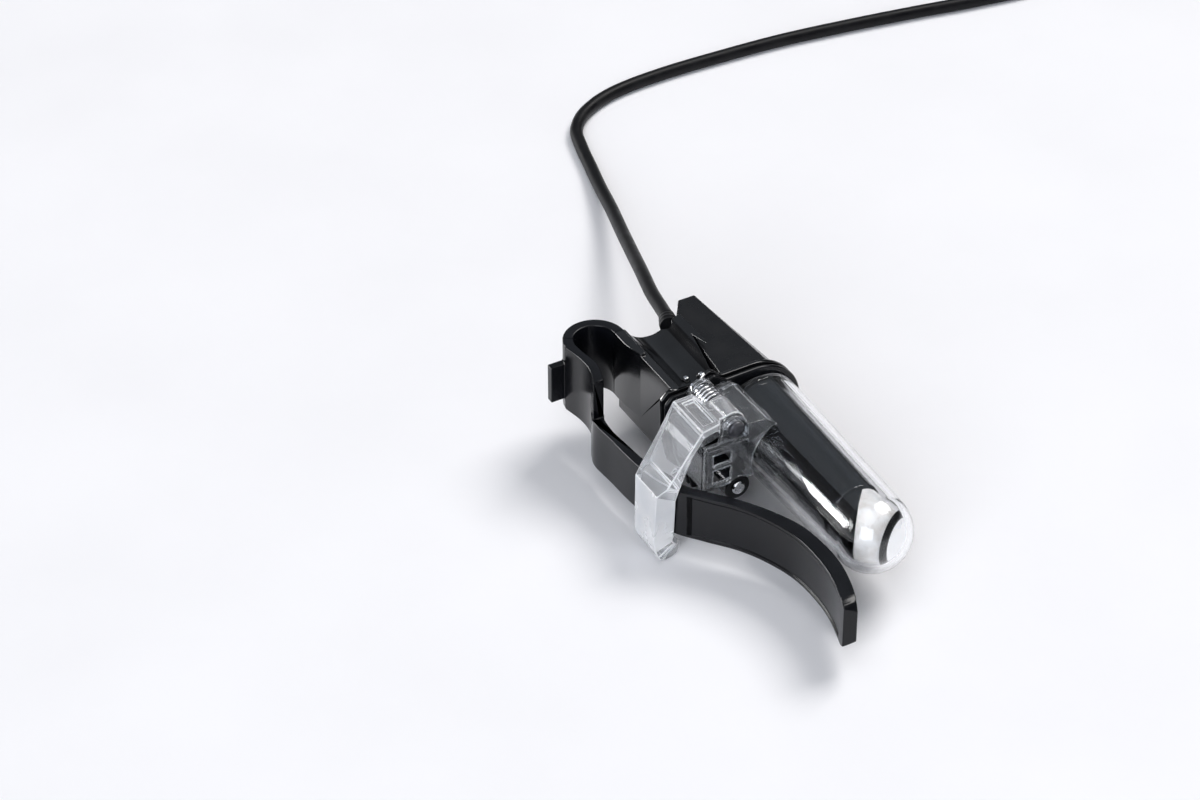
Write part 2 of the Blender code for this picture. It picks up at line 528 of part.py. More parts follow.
def make_lead_in(looks):
    """Strain relief at the exit, the clamp inside the tail and the wires through the core."""
    start, inside = at(*EXIT), at(*CLAMP_POINT)
    out = (at(*LEAD_ROUTE[0]) - start).normalized()
    relief = start + out * 0.12 * MM
    tapered("strain_relief", relief, out, RELIEF_LENGTH, RELIEF_BASE_R, LEAD_R + 0.08, looks["rubber"])
    along = (inside - start).normalized() * MM
    tube("lead_jacket_end", [start + along * 0.9, inside + along], LEAD_R * 0.95 * MM, looks["rubber"], 12)
    spans = [(c - size / 2, c + size / 2) for c, size in zip(CLAMP_POINT, CLAMP_SIZE)]
    clamp = block("cable_clamp", *spans, looks["black"])
    cut(clamp, tube("bore", [start, inside + along * 5], (LEAD_R + 0.1) * MM, sides=16))
    for k in range(4):
        turn = math.pi / 4 + k * math.pi / 2
        dx, dz = WIRE_SPREAD * math.cos(turn), WIRE_SPREAD * math.sin(turn)
        x, z = AXIS_X + dx, AXIS_Z + dz
        first = inside + along * 1.2 + Vector((dx, 0.0, dz)) * MM
        route = [first, at(x, -13.5, z + 0.3), at(x, -16.0, z), at(x, BOARD_Y + 0.15, z)]
        tube(f"lead_wire_{k + 1}", route, WIRE_R * MM, looks["wire"], 6)


def tapered(name, start, along, length, base_r, end_r, look):
    """A cone frustum from a point along a direction, in millimetres of length and radius."""
    side = along.orthogonal().normalized()
    up = along.cross(side)
    bm = bmesh.new()
    rings = []
    for radius, far in ((base_r, 0.0), (base_r, 0.35), (end_r, 1.0)):
        middle = start + along * length * far * MM
        angles = [2 * math.pi * k / 20 for k in range(20)]
        spokes = [side * math.cos(a) + up * math.sin(a) for a in angles]
        rings.append([bm.verts.new(middle + spoke * radius * MM) for spoke in spokes])
    skin(bm, rings)
    return finish(name, bm, look)


def make_lead(looks):
    """The free lead, from its strain relief to the coil, as a bevelled curve."""
    start = at(*EXIT)
    out = (at(*LEAD_ROUTE[0]) - start).normalized()
    first = start + out * (RELIEF_LENGTH + 0.25) * MM
    route = even(smooth([first, *(at(*p) for p in LEAD_ROUTE[1:])], 12), LEAD_POINTS)
    curve = bpy.data.curves.new("lead_cable", "CURVE")
    curve.dimensions = "3D"
    curve.bevel_depth = LEAD_R * MM
    curve.bevel_resolution = 2
    curve.use_fill_caps = True
    spline = curve.splines.new("POLY")
    spline.points.add(len(route) - 1)
    for point, place in zip(spline.points, route):
        point.co = (*place, 1.0)
    curve.materials.append(looks["rubber"])
    bpy.context.collection.objects.link(bpy.data.objects.new("lead_cable", curve))


def upright(name, profile, x, y, look=None, sides=ROUND):
    """A closed profile of (radius, z) turned about an upright axis."""
    bm = bmesh.new()
    rings = []
    for radius, z in profile:
        angles = [2 * math.pi * i / sides for i in range(sides)]
        rings.append([bm.verts.new(at(x + radius * math.cos(a), y + radius * math.sin(a), z)) for a in angles])
    skin(bm, [*rings, rings[0]], closed_ends=False)
    return finish(name, bm, look)


def make_coil(looks):
    """The stored turns as one ring, and the tie round them."""
    half, low, high = COIL_WIDE / 2, TABLE_Z, TABLE_Z + COIL_HIGH
    inner, outer = COIL_R - half, COIL_R + half
    low_soft, high_soft = low + COIL_SOFT, high - COIL_SOFT
    profile = [
        (outer - COIL_SOFT, low), (outer, low_soft), (outer, high_soft), (outer - COIL_SOFT, high),
        (inner + COIL_SOFT, high), (inner, high_soft), (inner, low_soft), (inner + COIL_SOFT, low),
    ]
    upright("lead_coil", profile, COIL_X, COIL_Y, looks["rubber"])
    x, wide, tall, low = COIL_X - COIL_R, half + TIE_ROOM, high + TIE_ROOM, low + 0.02
    far = wide + TIE_T
    band = [(x - far, low), (x + far, low), (x + far, tall + TIE_T), (x - far, tall + TIE_T)]
    tie = prism("coil_tie", "Y", band, COIL_Y - TIE_WIDE / 2, COIL_Y + TIE_WIDE / 2, looks["tie"])
    hole = [(x - wide, low - 1.0), (x + wide, low - 1.0), (x + wide, tall), (x - wide, tall)]
    cut(tie, prism("hole", "Y", hole, COIL_Y - TIE_WIDE, COIL_Y + TIE_WIDE))


def make_plug(looks):
    """The lead's end off the coil, and a round plug on it: tapered boot, grip, metal shell and contacts."""
    turn = math.radians(LEAD_END_DEG)
    out = Vector((math.cos(turn), math.sin(turn), 0.0))
    heading = Vector((-out.y, out.x, 0.0))
    axis_z = TABLE_Z + PLUG_R + 0.02
    leaves = at(COIL_X, COIL_Y, axis_z) + out * (COIL_R + COIL_WIDE / 2 + LEAD_R + 0.35) * MM
    tube("lead_end", [leaves, leaves + heading * LEAD_END_LENGTH * MM], LEAD_R * MM, looks["rubber"], 12)
    made = [
        turned("plug_boot", PLUG_BOOT, 0.0, axis_z, looks["rubber"], sides=24),
        turned("plug_body", PLUG_BODY, 0.0, axis_z, looks["black"], sides=24),
        turned("plug_shell", PLUG_SHELL, 0.0, axis_z, looks["steel"], sides=24, hollow=True),
    ]
    for k in range(4):
        turn = math.pi / 4 + k * math.pi / 2
        x, z = CONTACT_RING_R * math.cos(turn), axis_z + CONTACT_RING_R * math.sin(turn)
        made.append(rod(f"plug_contact_{k + 1}", x, z, CONTACT_R, CONTACT_Y, looks["gold"], 8))
    middle = leaves + heading * (LEAD_END_LENGTH + 0.3 + PLUG_BOOT_Y) * MM
    turned_round = Matrix.Rotation(math.radians(LEAD_END_DEG - 180.0), 4, "Z")
    to_place = Matrix.Translation((middle.x, middle.y, 0.0)) @ turned_round
    for piece in made:
        piece.data.transform(to_place @ Matrix.Translation(-at(0.0, 0.0, TABLE_Z)))


def hang_on(name, piece, x, y, z):
    """An empty on the joint's axis, with the moving piece as its child."""
    pivot = bpy.data.objects.new(name, None)
    pivot.location = at(x, y, z)
    bpy.context.collection.objects.link(pivot)
    piece.parent = pivot
    piece.matrix_parent_inverse = Matrix.Translation(-pivot.location)


def main():
    for old in list(bpy.data.objects):
        bpy.data.objects.remove(old)
    looks = {
        "black": material("black_plastic", (0.012, 0.012, 0.014), 0.32),
        "gloss": material("gloss_black", (0.008, 0.009, 0.012), 0.08),
        "rubber": material("black_rubber", (0.02, 0.02, 0.022), 0.55),
        "clear": material("clear_plastic", (0.92, 0.94, 0.95), 0.04, transmission=1.0),
        "frost": material("frosted_lens", (0.9, 0.9, 0.9), 0.3, transmission=0.6),
        "white": material("white_reflector", (0.85, 0.84, 0.82), 0.25),
        "board": material("circuit_board", (0.02, 0.12, 0.05), 0.5),
        "red": material("red_emitter", (0.6, 0.03, 0.02), 0.2),
        "amber": material("infrared_emitter", (0.25, 0.18, 0.08), 0.2),
        "chip": material("sensor_chip", (0.03, 0.03, 0.05), 0.2),
        "steel": material("bright_steel", (0.62, 0.62, 0.64), 0.2, metallic=1.0),
        "pin": material("hinge_pin_steel", (0.35, 0.36, 0.38), 0.25, metallic=1.0),
        "wire": material("wire_sleeve", (0.5, 0.5, 0.52), 0.5),
        "tie": material("tie_strap", (0.02, 0.02, 0.02), 0.6),
        "gold": material("gold_contact", (0.8, 0.6, 0.25), 0.25, metallic=1.0),
    }
    rigid = (make_capsule, make_core, make_collar, make_tail, make_root, make_loop, make_bracket, make_hinge)
    for make in (*rigid, make_lead_in, make_lead, make_coil, make_plug):
        make(looks)
    hang_on("arm_pivot", make_arm(looks), LOOP_X, LOOP_Y, (ARM_LOW_Z + ARM_HIGH_Z) / 2)
    hang_on("keeper_pivot", make_keeper(looks), HINGE_X, sum(KNUCKLE_Y) / 2, HINGE_Z)


main()
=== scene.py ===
"""Finished look of the clip-on pulse oximeter probe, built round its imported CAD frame.

Drawing axes, in millimetres, are the part's own: +X towards the capsule, -Y towards its nose, +Z up.
`at` turns drawing millimetres into the frame's metres, measured from the clear capsule in the frame.
"""

import json
import math

import bmesh
import bpy
from mathutils import Matrix, Vector


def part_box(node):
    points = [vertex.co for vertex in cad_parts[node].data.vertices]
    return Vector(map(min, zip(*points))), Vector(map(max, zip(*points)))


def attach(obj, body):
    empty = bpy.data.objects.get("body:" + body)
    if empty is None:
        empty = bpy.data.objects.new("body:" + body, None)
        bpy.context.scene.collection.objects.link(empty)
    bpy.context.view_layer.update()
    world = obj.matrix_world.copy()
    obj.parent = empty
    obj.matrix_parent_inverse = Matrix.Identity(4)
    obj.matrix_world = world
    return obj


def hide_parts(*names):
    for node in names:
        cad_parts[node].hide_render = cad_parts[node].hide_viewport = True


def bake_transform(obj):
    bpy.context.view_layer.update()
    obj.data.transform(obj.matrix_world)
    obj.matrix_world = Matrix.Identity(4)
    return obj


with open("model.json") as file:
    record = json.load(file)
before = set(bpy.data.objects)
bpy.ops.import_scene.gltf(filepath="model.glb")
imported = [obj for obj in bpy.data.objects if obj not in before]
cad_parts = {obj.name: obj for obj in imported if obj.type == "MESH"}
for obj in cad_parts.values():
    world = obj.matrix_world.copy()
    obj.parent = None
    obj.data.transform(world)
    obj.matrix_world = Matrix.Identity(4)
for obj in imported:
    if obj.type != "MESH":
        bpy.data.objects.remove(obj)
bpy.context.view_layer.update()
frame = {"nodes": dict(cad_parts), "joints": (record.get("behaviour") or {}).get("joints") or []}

MM = 0.001

# Capsule and core, turned about one axis along Y.
AXIS_X, AXIS_Z = 10.8, 6.0
CAPSULE_REAR_Y, NOSE_Y = -17.5, -42.0
CAPSULE_BASE_R, NOSE_R, CAPSULE_WALL = 5.4, 4.77, 0.8
CORE_REAR_Y, CORE_FRONT_Y = -17.8, -39.0
CORE_BASE_R, CORE_FRONT_R, CORE_BORE_R, CORE_STUB_R = 4.2, 3.65, 1.5, 3.0

capsule_low, capsule_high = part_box("clear_capsule")
capsule_middle = (capsule_low + capsule_high) / 2
ORIGIN = Vector((capsule_middle.x, capsule_high.y, capsule_middle.z))
ORIGIN -= Vector((AXIS_X, CAPSULE_REAR_Y, AXIS_Z)) * MM
TABLE_Z = -ORIGIN.z / MM

# Emitter head: the slanting cut between its black ring and its white body, and the turn of its window.
CUT_Y, CUT_DEG, CUT_REACH = -39.8, 50.0, 9.0
WINDOW_DEG, WINDOW_OUT, HEAD_R = 32.0, 2.35, 3.6
WINDOW_Y = NOSE_Y - WINDOW_OUT
HEAD_REAR_Y, RING_FRONT = CORE_FRONT_Y - 0.1, [(HEAD_R, -42.6), (3.4, -43.9)]
CUP_ROOM = [(1.8, HEAD_REAR_Y + 1.0), (1.8, -42.3), (1.3, -43.2)]
RIM_PROFILE = [
    (2.2, WINDOW_Y - 0.02), (3.1, WINDOW_Y - 0.02), (3.0, WINDOW_Y - 0.2),
    (2.6, WINDOW_Y - 0.55), (2.2, WINDOW_Y - 0.55),
]
LENS_R, LENS_REAR_Y, LENS_REACH = 2.4, WINDOW_Y - 0.58, NOSE_R - CAPSULE_WALL - 0.12
LENS_FROM_DEG, LENS_STEP_DEG, LENS_STEPS = 50.5, 3.9, 11

# Collar: front plate, gasket, rear plate.
COLLAR_FRONT_Y, PLATE_T, GASKET_T, GASKET_INSET, GAP = -17.3, 0.55, 0.25, 0.35, 0.1
COLLAR_X, COLLAR_Z, COLLAR_R, COLLAR_LEFT_X = 10.7, 6.1, 6.05, -1.2
CORE_HOLE_R = 3.15
FOOT_X, FOOT_SLOPE, LEFT_BEVEL = (2.0, 10.0), 0.5, 0.8
HUMP = [(6.9, -0.05), (6.3, 0.25), (5.7, 0.85), (5.1, 1.05), (4.6, 0.85), (4.2, 0.3), (3.8, 0.0)]

# Tail shell.
TAIL_FRONT_Y, TAIL_REAR_Y, TAIL_WALL = -15.65, 0.5, 0.9
TAIL_FRONT = [
    (7.1, 11.6), (13.0, 11.6), (15.6, 8.7), (15.6, 3.5), (13.2, 0.6), (8.2, 0.6), (6.7, 3.5), (6.7, 8.7),
]
TAIL_REAR = [
    (9.55, 10.4), (12.9, 10.4), (14.6, 8.2), (14.6, 4.0), (13.0, 1.8), (10.2, 1.8), (9.2, 4.0), (9.2, 8.2),
]
TAIL_NOTCH = [(8.0, -3.6), (9.8, -1.0), (10.8, 0.55), (10.8, 2.0), (8.0, 2.0)]

# Clip root.
ROOT_REAR_Y, ROOT_WALL_X = -3.3, 0.3
ROOT_LOW = [(0.3, 1.6), (1.9, 1.6), (3.2, 0.6), (6.8, 0.6), (8.75, 3.0)]
SADDLE = [(1.4, 12.1), (2.3, 10.9), (3.6, 10.15), (5.2, 10.0), (6.6, 10.5), (7.7, 11.3), (8.75, 11.7)]
STUB_FRONT_Y, STUB_BEND_Y = -9.0, -6.5
PINS, LOCATING_PIN_R, LOCATING_PIN_Z = [(4.0, -12.9), (5.9, -13.1)], 0.35, (8.3, 10.6)

# Living spring and arm, about the joint's axis.
joint_at = {joint["name"]: (Vector(joint["pos_m"]) - ORIGIN) / MM for joint in frame["joints"]}
LOOP_X, LOOP_Y = joint_at["arm_flex"].x, joint_at["arm_flex"].y
LOOP_OUTER_R, LOOP_INNER_R = 3.75, 2.5
LOOP_LOW_Z, LOOP_HIGH_Z, LOOP_END_DEG, ARM_START_DEG = 3.6, 12.6, 147.8, 148.0
LEG_OUTER = [(-6.55, -3.8), (-6.15, -5.9), (-6.1, -7.7), (-6.4, -9.4), (-7.1, -11.0)]
LEG_INNER = [(-5.3, -3.8), (-5.2, -5.4), (-4.9, -7.1), (-5.0, -8.7), (-5.7, -11.0)]
ARM_LOW_Z, ARM_HIGH_Z, TIP_CORNER_R = 1.0, 7.3, 2.0
ARM_OUTER = [
    (-6.6, -9.6), (-7.25, -11.6), (-7.1, -15.0), (-6.8, -20.5), (-5.6, -25.9), (-3.2, -29.4),
    (-0.7, -32.6), (1.0, -35.9), (2.2, -39.9), (2.4, -44.2), (1.9, -48.1), (0.6, -52.6),
]
ARM_INNER = [
    (-5.2, -9.6), (-5.9, -11.6), (-6.1, -15.0), (-5.6, -19.8), (-4.2, -25.6), (-2.4, -28.3),
    (0.1, -31.4), (2.2, -34.8), (3.8, -38.6), (4.3, -42.4), (4.2, -46.0), (3.4, -49.6), (2.1, -53.1),
]
PANEL_DEPTH, PANEL_BORDER, PANEL_Y = 0.14, 0.5, (-51.0, -27.6)
TAB_X, TAB_Y, TAB_Z = (-8.3, -5.7), (-3.35, -2.4), (5.0, 10.0)
ARM_CLEARANCE, ARM_SWEEP_X = 0.15, 3.0

# Hinge of the clear keeper, along Y.
HINGE_X, HINGE_Z = joint_at["keeper_swing"].x, joint_at["keeper_swing"].z
KNUCKLE_R, KNUCKLE_Y, BORE_R = 1.7, (-24.8, -21.3), 0.95
PIN_PROFILE = [
    (0.85, -17.55), (0.85, -25.6), (1.05, -25.6), (1.05, -25.85), (0.95, -26.02), (0.7, -26.14), (0.0, -26.2),
]
SPRING_R, SPRING_WIRE_R, SPRING_TURNS, SPRING_Y = 1.25, 0.2, 4, (-20.95, -18.75)

# Keeper stations from the hinge round to the foot: outer point, inner point (X, Z), and Y span.
KEEPER = [
    ((2.2, 13.6), (1.8, 12.7), (-24.8, -21.3)),
    ((1.35, 13.7), (1.25, 12.85), (-24.8, -21.3)),
    ((0.9, 13.75), (0.9, 12.85), (-25.7, -19.4)),
    ((-1.5, 13.6), (-1.3, 12.7), (-26.0, -19.3)),
    ((-4.2, 11.05), (-3.1, 11.3), (-26.7, -20.6)),
    ((-6.9, 8.5), (-5.2, 7.9), (-27.4, -21.6)),
    ((-7.95, 7.5), (-5.4, 6.0), (-26.9, -22.1)),
    ((-8.1, 0.6), (-5.4, 0.75), (-26.6, -22.2)),
    ((-8.0, -0.5), (-5.75, 0.35), (-26.9, -22.3)),
    ((-7.75, -1.2), (-5.65, 0.15), (-27.1, -22.5)),
    ((-7.3, -1.75), (-5.45, 0.0), (-27.1, -22.7)),
    ((-6.7, -2.1), (-5.2, -0.15), (-26.9, -23.0)),
    ((-5.8, -2.15), (-5.0, -0.3), (-26.7, -23.2)),
    ((-5.0, -2.1), (-4.8, -0.4), (-26.4, -23.3)),
    ((-4.4, -1.85), (-4.4, -0.6), (-26.0, -23.5)),
    ((-4.1, -1.5), (-4.2, -0.95), (-25.6, -23.8)),
]
LEG_STATIONS = (6, 8)
TOP_POCKET = ((-0.8, 0.7), (-24.9, -20.3), (13.25, 20.0))
NUB = ((-5.4, -3.9), (-26.4, -25.5), (8.4, 9.1))

# Clear bracket.
BRACKET_BACK_Y, BRACKET_FRONT_Y = (-18.3, -17.45), (-25.5, -24.95)
BRACKET_LEFT_X, BRACKET_WALL, EAR_R = -0.9, 0.6, 1.6
BRACKET_TOP = [(4.6, 12.2), (1.4, 12.2), (1.0, 10.6), (BRACKET_LEFT_X, 10.6)]
BRACKET_BACK = [(BRACKET_LEFT_X, 1.0), (7.4, 1.0), (7.4, 11.2), *BRACKET_TOP]
BRACKET_FRONT = [(BRACKET_LEFT_X, 4.4), (6.5, 4.4), (8.4, 10.9), (7.0, 12.0), *BRACKET_TOP]
BRACKET_SADDLE = [(5.0, 9.2), (8.3, 10.4), (8.4, 10.9), (7.0, 12.0), (5.0, 12.0)]
WEB_RIGHT_X, WEB_Z = 5.3, (9.75, 10.3)
WINDOWS_X, WINDOWS_Z = (0.3, 2.7), [(4.95, 6.9), (7.5, 9.1)]
POST_X, POST_Z, POST_R, POST_Y = 3.7, 3.2, 1.6, (-25.2, -17.45)
SCREW_R, SCREW_HEAD_R, SCREW_FACE_R, SCREW_Y = 0.45, 0.85, 0.7, (-25.55, -20.5)
CROSS_LONG, CROSS_WIDE, CROSS_Y = 0.55, 0.12, (-26.0, -25.4)
THROUGH_Y = (-30.0, -10.0)

# Lead.
LEAD_R = 0.85
LEAD_Z = TABLE_Z + LEAD_R
EXIT, CHANNEL_END, CHANNEL_R = (7.5, -3.2, 10.1), (10.8, -9.6, 7.7), 1.1
RELIEF_LENGTH, RELIEF_BASE_R = 2.4, 1.1
LEAD_ROUTE = [
    (8.45, -0.85, 9.7), (9.15, 1.6, 9.1), (10.45, 6.2, 8.0), (12.5, 12.0, 6.5), (14.95, 18.7, 4.4),
    (17.5, 25.7, 2.3), (19.9, 32.5, 0.6), (21.9, 39.0, -0.7), (23.4, 44.0, -1.25), (24.6, 48.5, LEAD_Z),
    (26.0, 52.3, LEAD_Z), (29.2, 55.4, LEAD_Z), (34.3, 57.4, LEAD_Z), (41.6, 58.1, LEAD_Z),
    (50.7, 57.9, LEAD_Z), (60.0, 57.3, LEAD_Z), (69.5, 56.0, LEAD_Z), (79.0, 54.4, LEAD_Z),
    (88.5, 52.6, LEAD_Z), (97.5, 51.6, LEAD_Z), (105.5, 53.4, LEAD_Z), (111.2, 57.6, LEAD_Z),
]
COIL_X, COIL_Y, COIL_R = 106.0, 72.0, 10.0
COIL_WIDE, COIL_HIGH = 5.6, 6.9
COIL_LAYERS, COIL_COLUMNS, COIL_FIRST_DEG, COIL_RUN_IN = 4, 3, -70.0, 2.6
LAYER_LIFT, SLOT_CHANGE = 1.01, 0.2
TIE_T, TIE_WIDE, TIE_ROOM = 0.4, 2.6, 0.15
BUCKLE_X, BUCKLE_HALF_Y, BUCKLE_Z = (-1.6, 1.2), 1.7, (0.1, 0.9)
LEAD_END_DEG, LEAD_END_LENGTH = 118.0, 4.6
PLUG_R, PLUG_BOOT_Y = 4.2, 11.0
BOOT_RIBS, RIB_PITCH, RIB_FIRST_Y = 6, 0.7, 10.2
GRIP_PROFILE = [
    (2.6, 5.4, 0), (3.6, 5.0, 0), (PLUG_R, 3.6, 0), (PLUG_R, 3.0, 0), (PLUG_R, 2.6, 1), (PLUG_R, -4.0, 1),
    (PLUG_R, -4.4, 0), (PLUG_R, -5.0, 0), (3.7, -5.5, 0),
]
BOOT_FRONT, BOOT_SLOPE = (2.4, 5.6), 1.1 / 4.6
SHELL_PROFILE = [(3.3, -5.6), (3.3, -13.0), (2.9, -13.0), (2.9, -6.4), (0.6, -6.4), (0.6, -5.6)]
CONTACT_PROFILE, CONTACT_OUT = [(0.3, -6.5), (0.3, -11.6), (0.22, -11.85), (0.0, -12.0)], 1.6

# Studio, in metres: each light's place, its size, its power and its colour.
TABLE_HALF = 3.0
LIGHTS = {
    "key": ((1.2, 0.3, 1.7), (1.0, 1.0), 28.0, (1.0, 0.98, 0.965)),
    "fill": ((-1.3, -1.2, 1.0), (1.3, 1.3), 22.0, (0.87, 0.92, 1.0)),
    "top": ((-0.5, -0.2, 2.0), (1.5, 1.5), 9.5, (0.98, 0.975, 1.0)),
    "sheen": ((0.35, 1.15, 1.45), (2.2, 2.2), 4.5, (0.82, 0.90, 1.0)),
    "window": ((-0.95, 0.93, 0.36), (0.8, 0.32), 22.0, (1.0, 1.0, 1.0)),
}
REFLECTION_ONLY = ("sheen", "window")

# Room: grey by the height that a direction looks at, and the side on which all of it is dimmed.
ROOM_TONES, ROOM_TINT = [(0.0, 0.95), (0.06, 0.7), (0.25, 0.2), (0.75, 0.08), (1.0, 0.5)], (0.95, 0.965, 1.0)
DIM_SIDE = (0.72, 0.69, 0.0)
DIM_RANGE = {"From Min": 0.1, "From Max": 0.75, "To Min": 1.0, "To Max": 0.15}

CAMERA_AZIMUTH, CAMERA_ELEVATION, CAMERA_DISTANCE = -29.4, 38.0, 0.490
CAMERA_LENS, CAMERA_SENSOR, CAMERA_CLIP = 125.0, 36.0, 0.01

# Materials: how much coarser the broad noise is than the grain, the noise's part that carries the change of
# tone and of roughness, and the bump's depth as a share of the grain.
BROAD_NOISE, TONE_SPAN, ROUGH_SPAN, BUMP_DEPTH = 14, (0.35, 0.65), (0.3, 0.7), 0.2


def at(x, y, z=0.0):
    """A drawing point in the frame's metres."""
    return ORIGIN + Vector((x, y, z)) * MM


def arc(x, y, radius, start, end, steps):
    """Points on an arc, with angles in degrees."""
    angles = [math.radians(start + (end - start) * i / steps) for i in range(steps + 1)]
    return [(x + radius * math.cos(a), y + radius * math.sin(a)) for a in angles]


def smooth(points, steps):
    """A Catmull-Rom curve through the points, with a number of steps between neighbours."""
    points = [Vector(p) for p in points]
    padded = [2 * points[0] - points[1], *points, 2 * points[-1] - points[-2]]
    curve = []
    for a, b, c, d in zip(padded, padded[1:], padded[2:], padded[3:]):
        for i in range(steps):
            t = i / steps
            bend = (2 * a - 5 * b + 4 * c - d) * t**2 + (3 * b - a - 3 * c + d) * t**3
            curve.append(0.5 * (2 * b + (c - a) * t + bend))
    return [*curve, points[-1]]


def finish(name, bm, look=None):
    """A mesh object from a bmesh in metres, with its faces pointing out."""
    bmesh.ops.recalc_face_normals(bm, faces=bm.faces)
    mesh = bpy.data.meshes.new(name)
    bm.to_mesh(mesh)
    bm.free()
    made = bpy.data.objects.new(name, mesh)
    bpy.context.collection.objects.link(made)
    if look:
        mesh.materials.append(look)
    return made


def skin(bm, rings, closed_ends=True):
    """Bridge neighbouring rings of vertices, where a ring of one vertex is a pole."""
    for a, b in zip(rings, rings[1:]):
        count = max(len(a), len(b))
        if count == 1:
            continue
        for i in range(count):
            j = (i + 1) % count
            corners = [a[i % len(a)], a[j % len(a)], b[j % len(b)], b[i % len(b)]]
            bm.faces.new(list(dict.fromkeys(corners)))
    if closed_ends:
        bm.faces.new(rings[0])
        bm.faces.new(rings[-1][::-1])


def prism(name, axis, outline, low, high, look=None):
    """An outline in the plane across an axis, extruded along it. X takes (y, z), Y (x, z) and Z (x, y)."""
    order = {"X": (2, 0, 1), "Y": (0, 2, 1), "Z": (0, 1, 2)}[axis]
    bm = bmesh.new()
    rings = []
    for far in (low, high):
        corners = [(u, v, far) for u, v in outline]
        rings.append([bm.verts.new(at(*(corner[k] for k in order))) for corner in corners])
    skin(bm, rings)
    return finish(name, bm, look)


def block(name, x, y, z, look=None):
    """A box between pairs of X, Y and Z."""
    return prism(name, "Z", [(x[0], y[0]), (x[1], y[0]), (x[1], y[1]), (x[0], y[1])], z[0], z[1], look)


def turned(name, profile, x, z, look=None, sides=96, hollow=False):
    """A profile of (radius, y) turned about an axis along Y. A hollow one joins its last point to its first."""
    bm = bmesh.new()
    rings = []
    for radius, y in profile:
        turns = sides if radius else 1
        angles = [2 * math.pi * i / turns for i in range(turns)]
        rings.append([bm.verts.new(at(x + radius * math.cos(a), y, z + radius * math.sin(a))) for a in angles])
    skin(bm, [*rings, rings[0]] if hollow else rings, closed_ends=False)
    if not hollow:
        for ring in (rings[0], rings[-1]):
            if len(ring) > 1:
                bm.faces.new(ring)
    return finish(name, bm, look)


def rod(name, x, z, radius, y, look=None, sides=48):
    """A plain cylinder along Y."""
    return turned(name, [(radius, y[0]), (radius, y[1])], x, z, look, sides)


def tube(name, points, radius, look=None, sides=16):
    """A round bar along points in metres.

    The radius is in metres, or a function of the share of the way along.
    """
    bm = bmesh.new()
    rings, side = [], None
    for i, here in enumerate(points):
        along = (points[min(i + 1, len(points) - 1)] - points[max(i - 1, 0)]).normalized()
        side = side or along.orthogonal()
        side = (side - along * side.dot(along)).normalized()
        up = along.cross(side)
        wide = radius(i / (len(points) - 1)) if callable(radius) else radius
        angles = [2 * math.pi * k / sides for k in range(sides)]
        rings.append([bm.verts.new(here + wide * (math.cos(a) * side + math.sin(a) * up)) for a in angles])
    skin(bm, rings)
    return finish(name, bm, look)


def combine(target, operation, *tools):
    """Apply a Boolean with each tool in turn, and remove the tools."""
    for tool in tools:
        modifier = target.modifiers.new(operation, "BOOLEAN")
        modifier.operation = operation
        modifier.solver = "EXACT"
        modifier.object = tool
        evaluated = target.evaluated_get(bpy.context.evaluated_depsgraph_get())
        mesh = bpy.data.meshes.new_from_object(evaluated)
        target.modifiers.clear()
        mesh.name = target.name
        target.data = mesh
        bpy.data.objects.remove(tool)
    return target


def cut(target, *tools):
    return combine(target, "DIFFERENCE", *tools)


def join(target, *tools):
    return combine(target, "UNION", *tools)


def soften(piece, width, segments=3, angle=30.0, ridge_highlight_slot=-1):
    """Round a piece's sharp edges by a width in millimetres, and shade the rest smooth.

    The rounded edges take the material in a slot of their own, if one is given. A whiter, less clear plastic
    there paints highlight lines along the ridges.
    """
    piece.data.shade_smooth()
    bevel = piece.modifiers.new("edges", "BEVEL")
    bevel.width = width * MM
    bevel.segments = segments
    bevel.limit_method = "ANGLE"
    bevel.angle_limit = math.radians(angle)
    bevel.use_clamp_overlap = False
    bevel.material = ridge_highlight_slot
    piece.modifiers.new("shading", "WEIGHTED_NORMAL").keep_sharp = True
    return piece


def place(piece, body, slot, *nodes):
    """The finished piece moves with a body and stands for CAD nodes."""
    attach(piece, body)
    if nodes:
        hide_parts(*nodes)
    return piece


# ---------------------------------------------------------------- materials


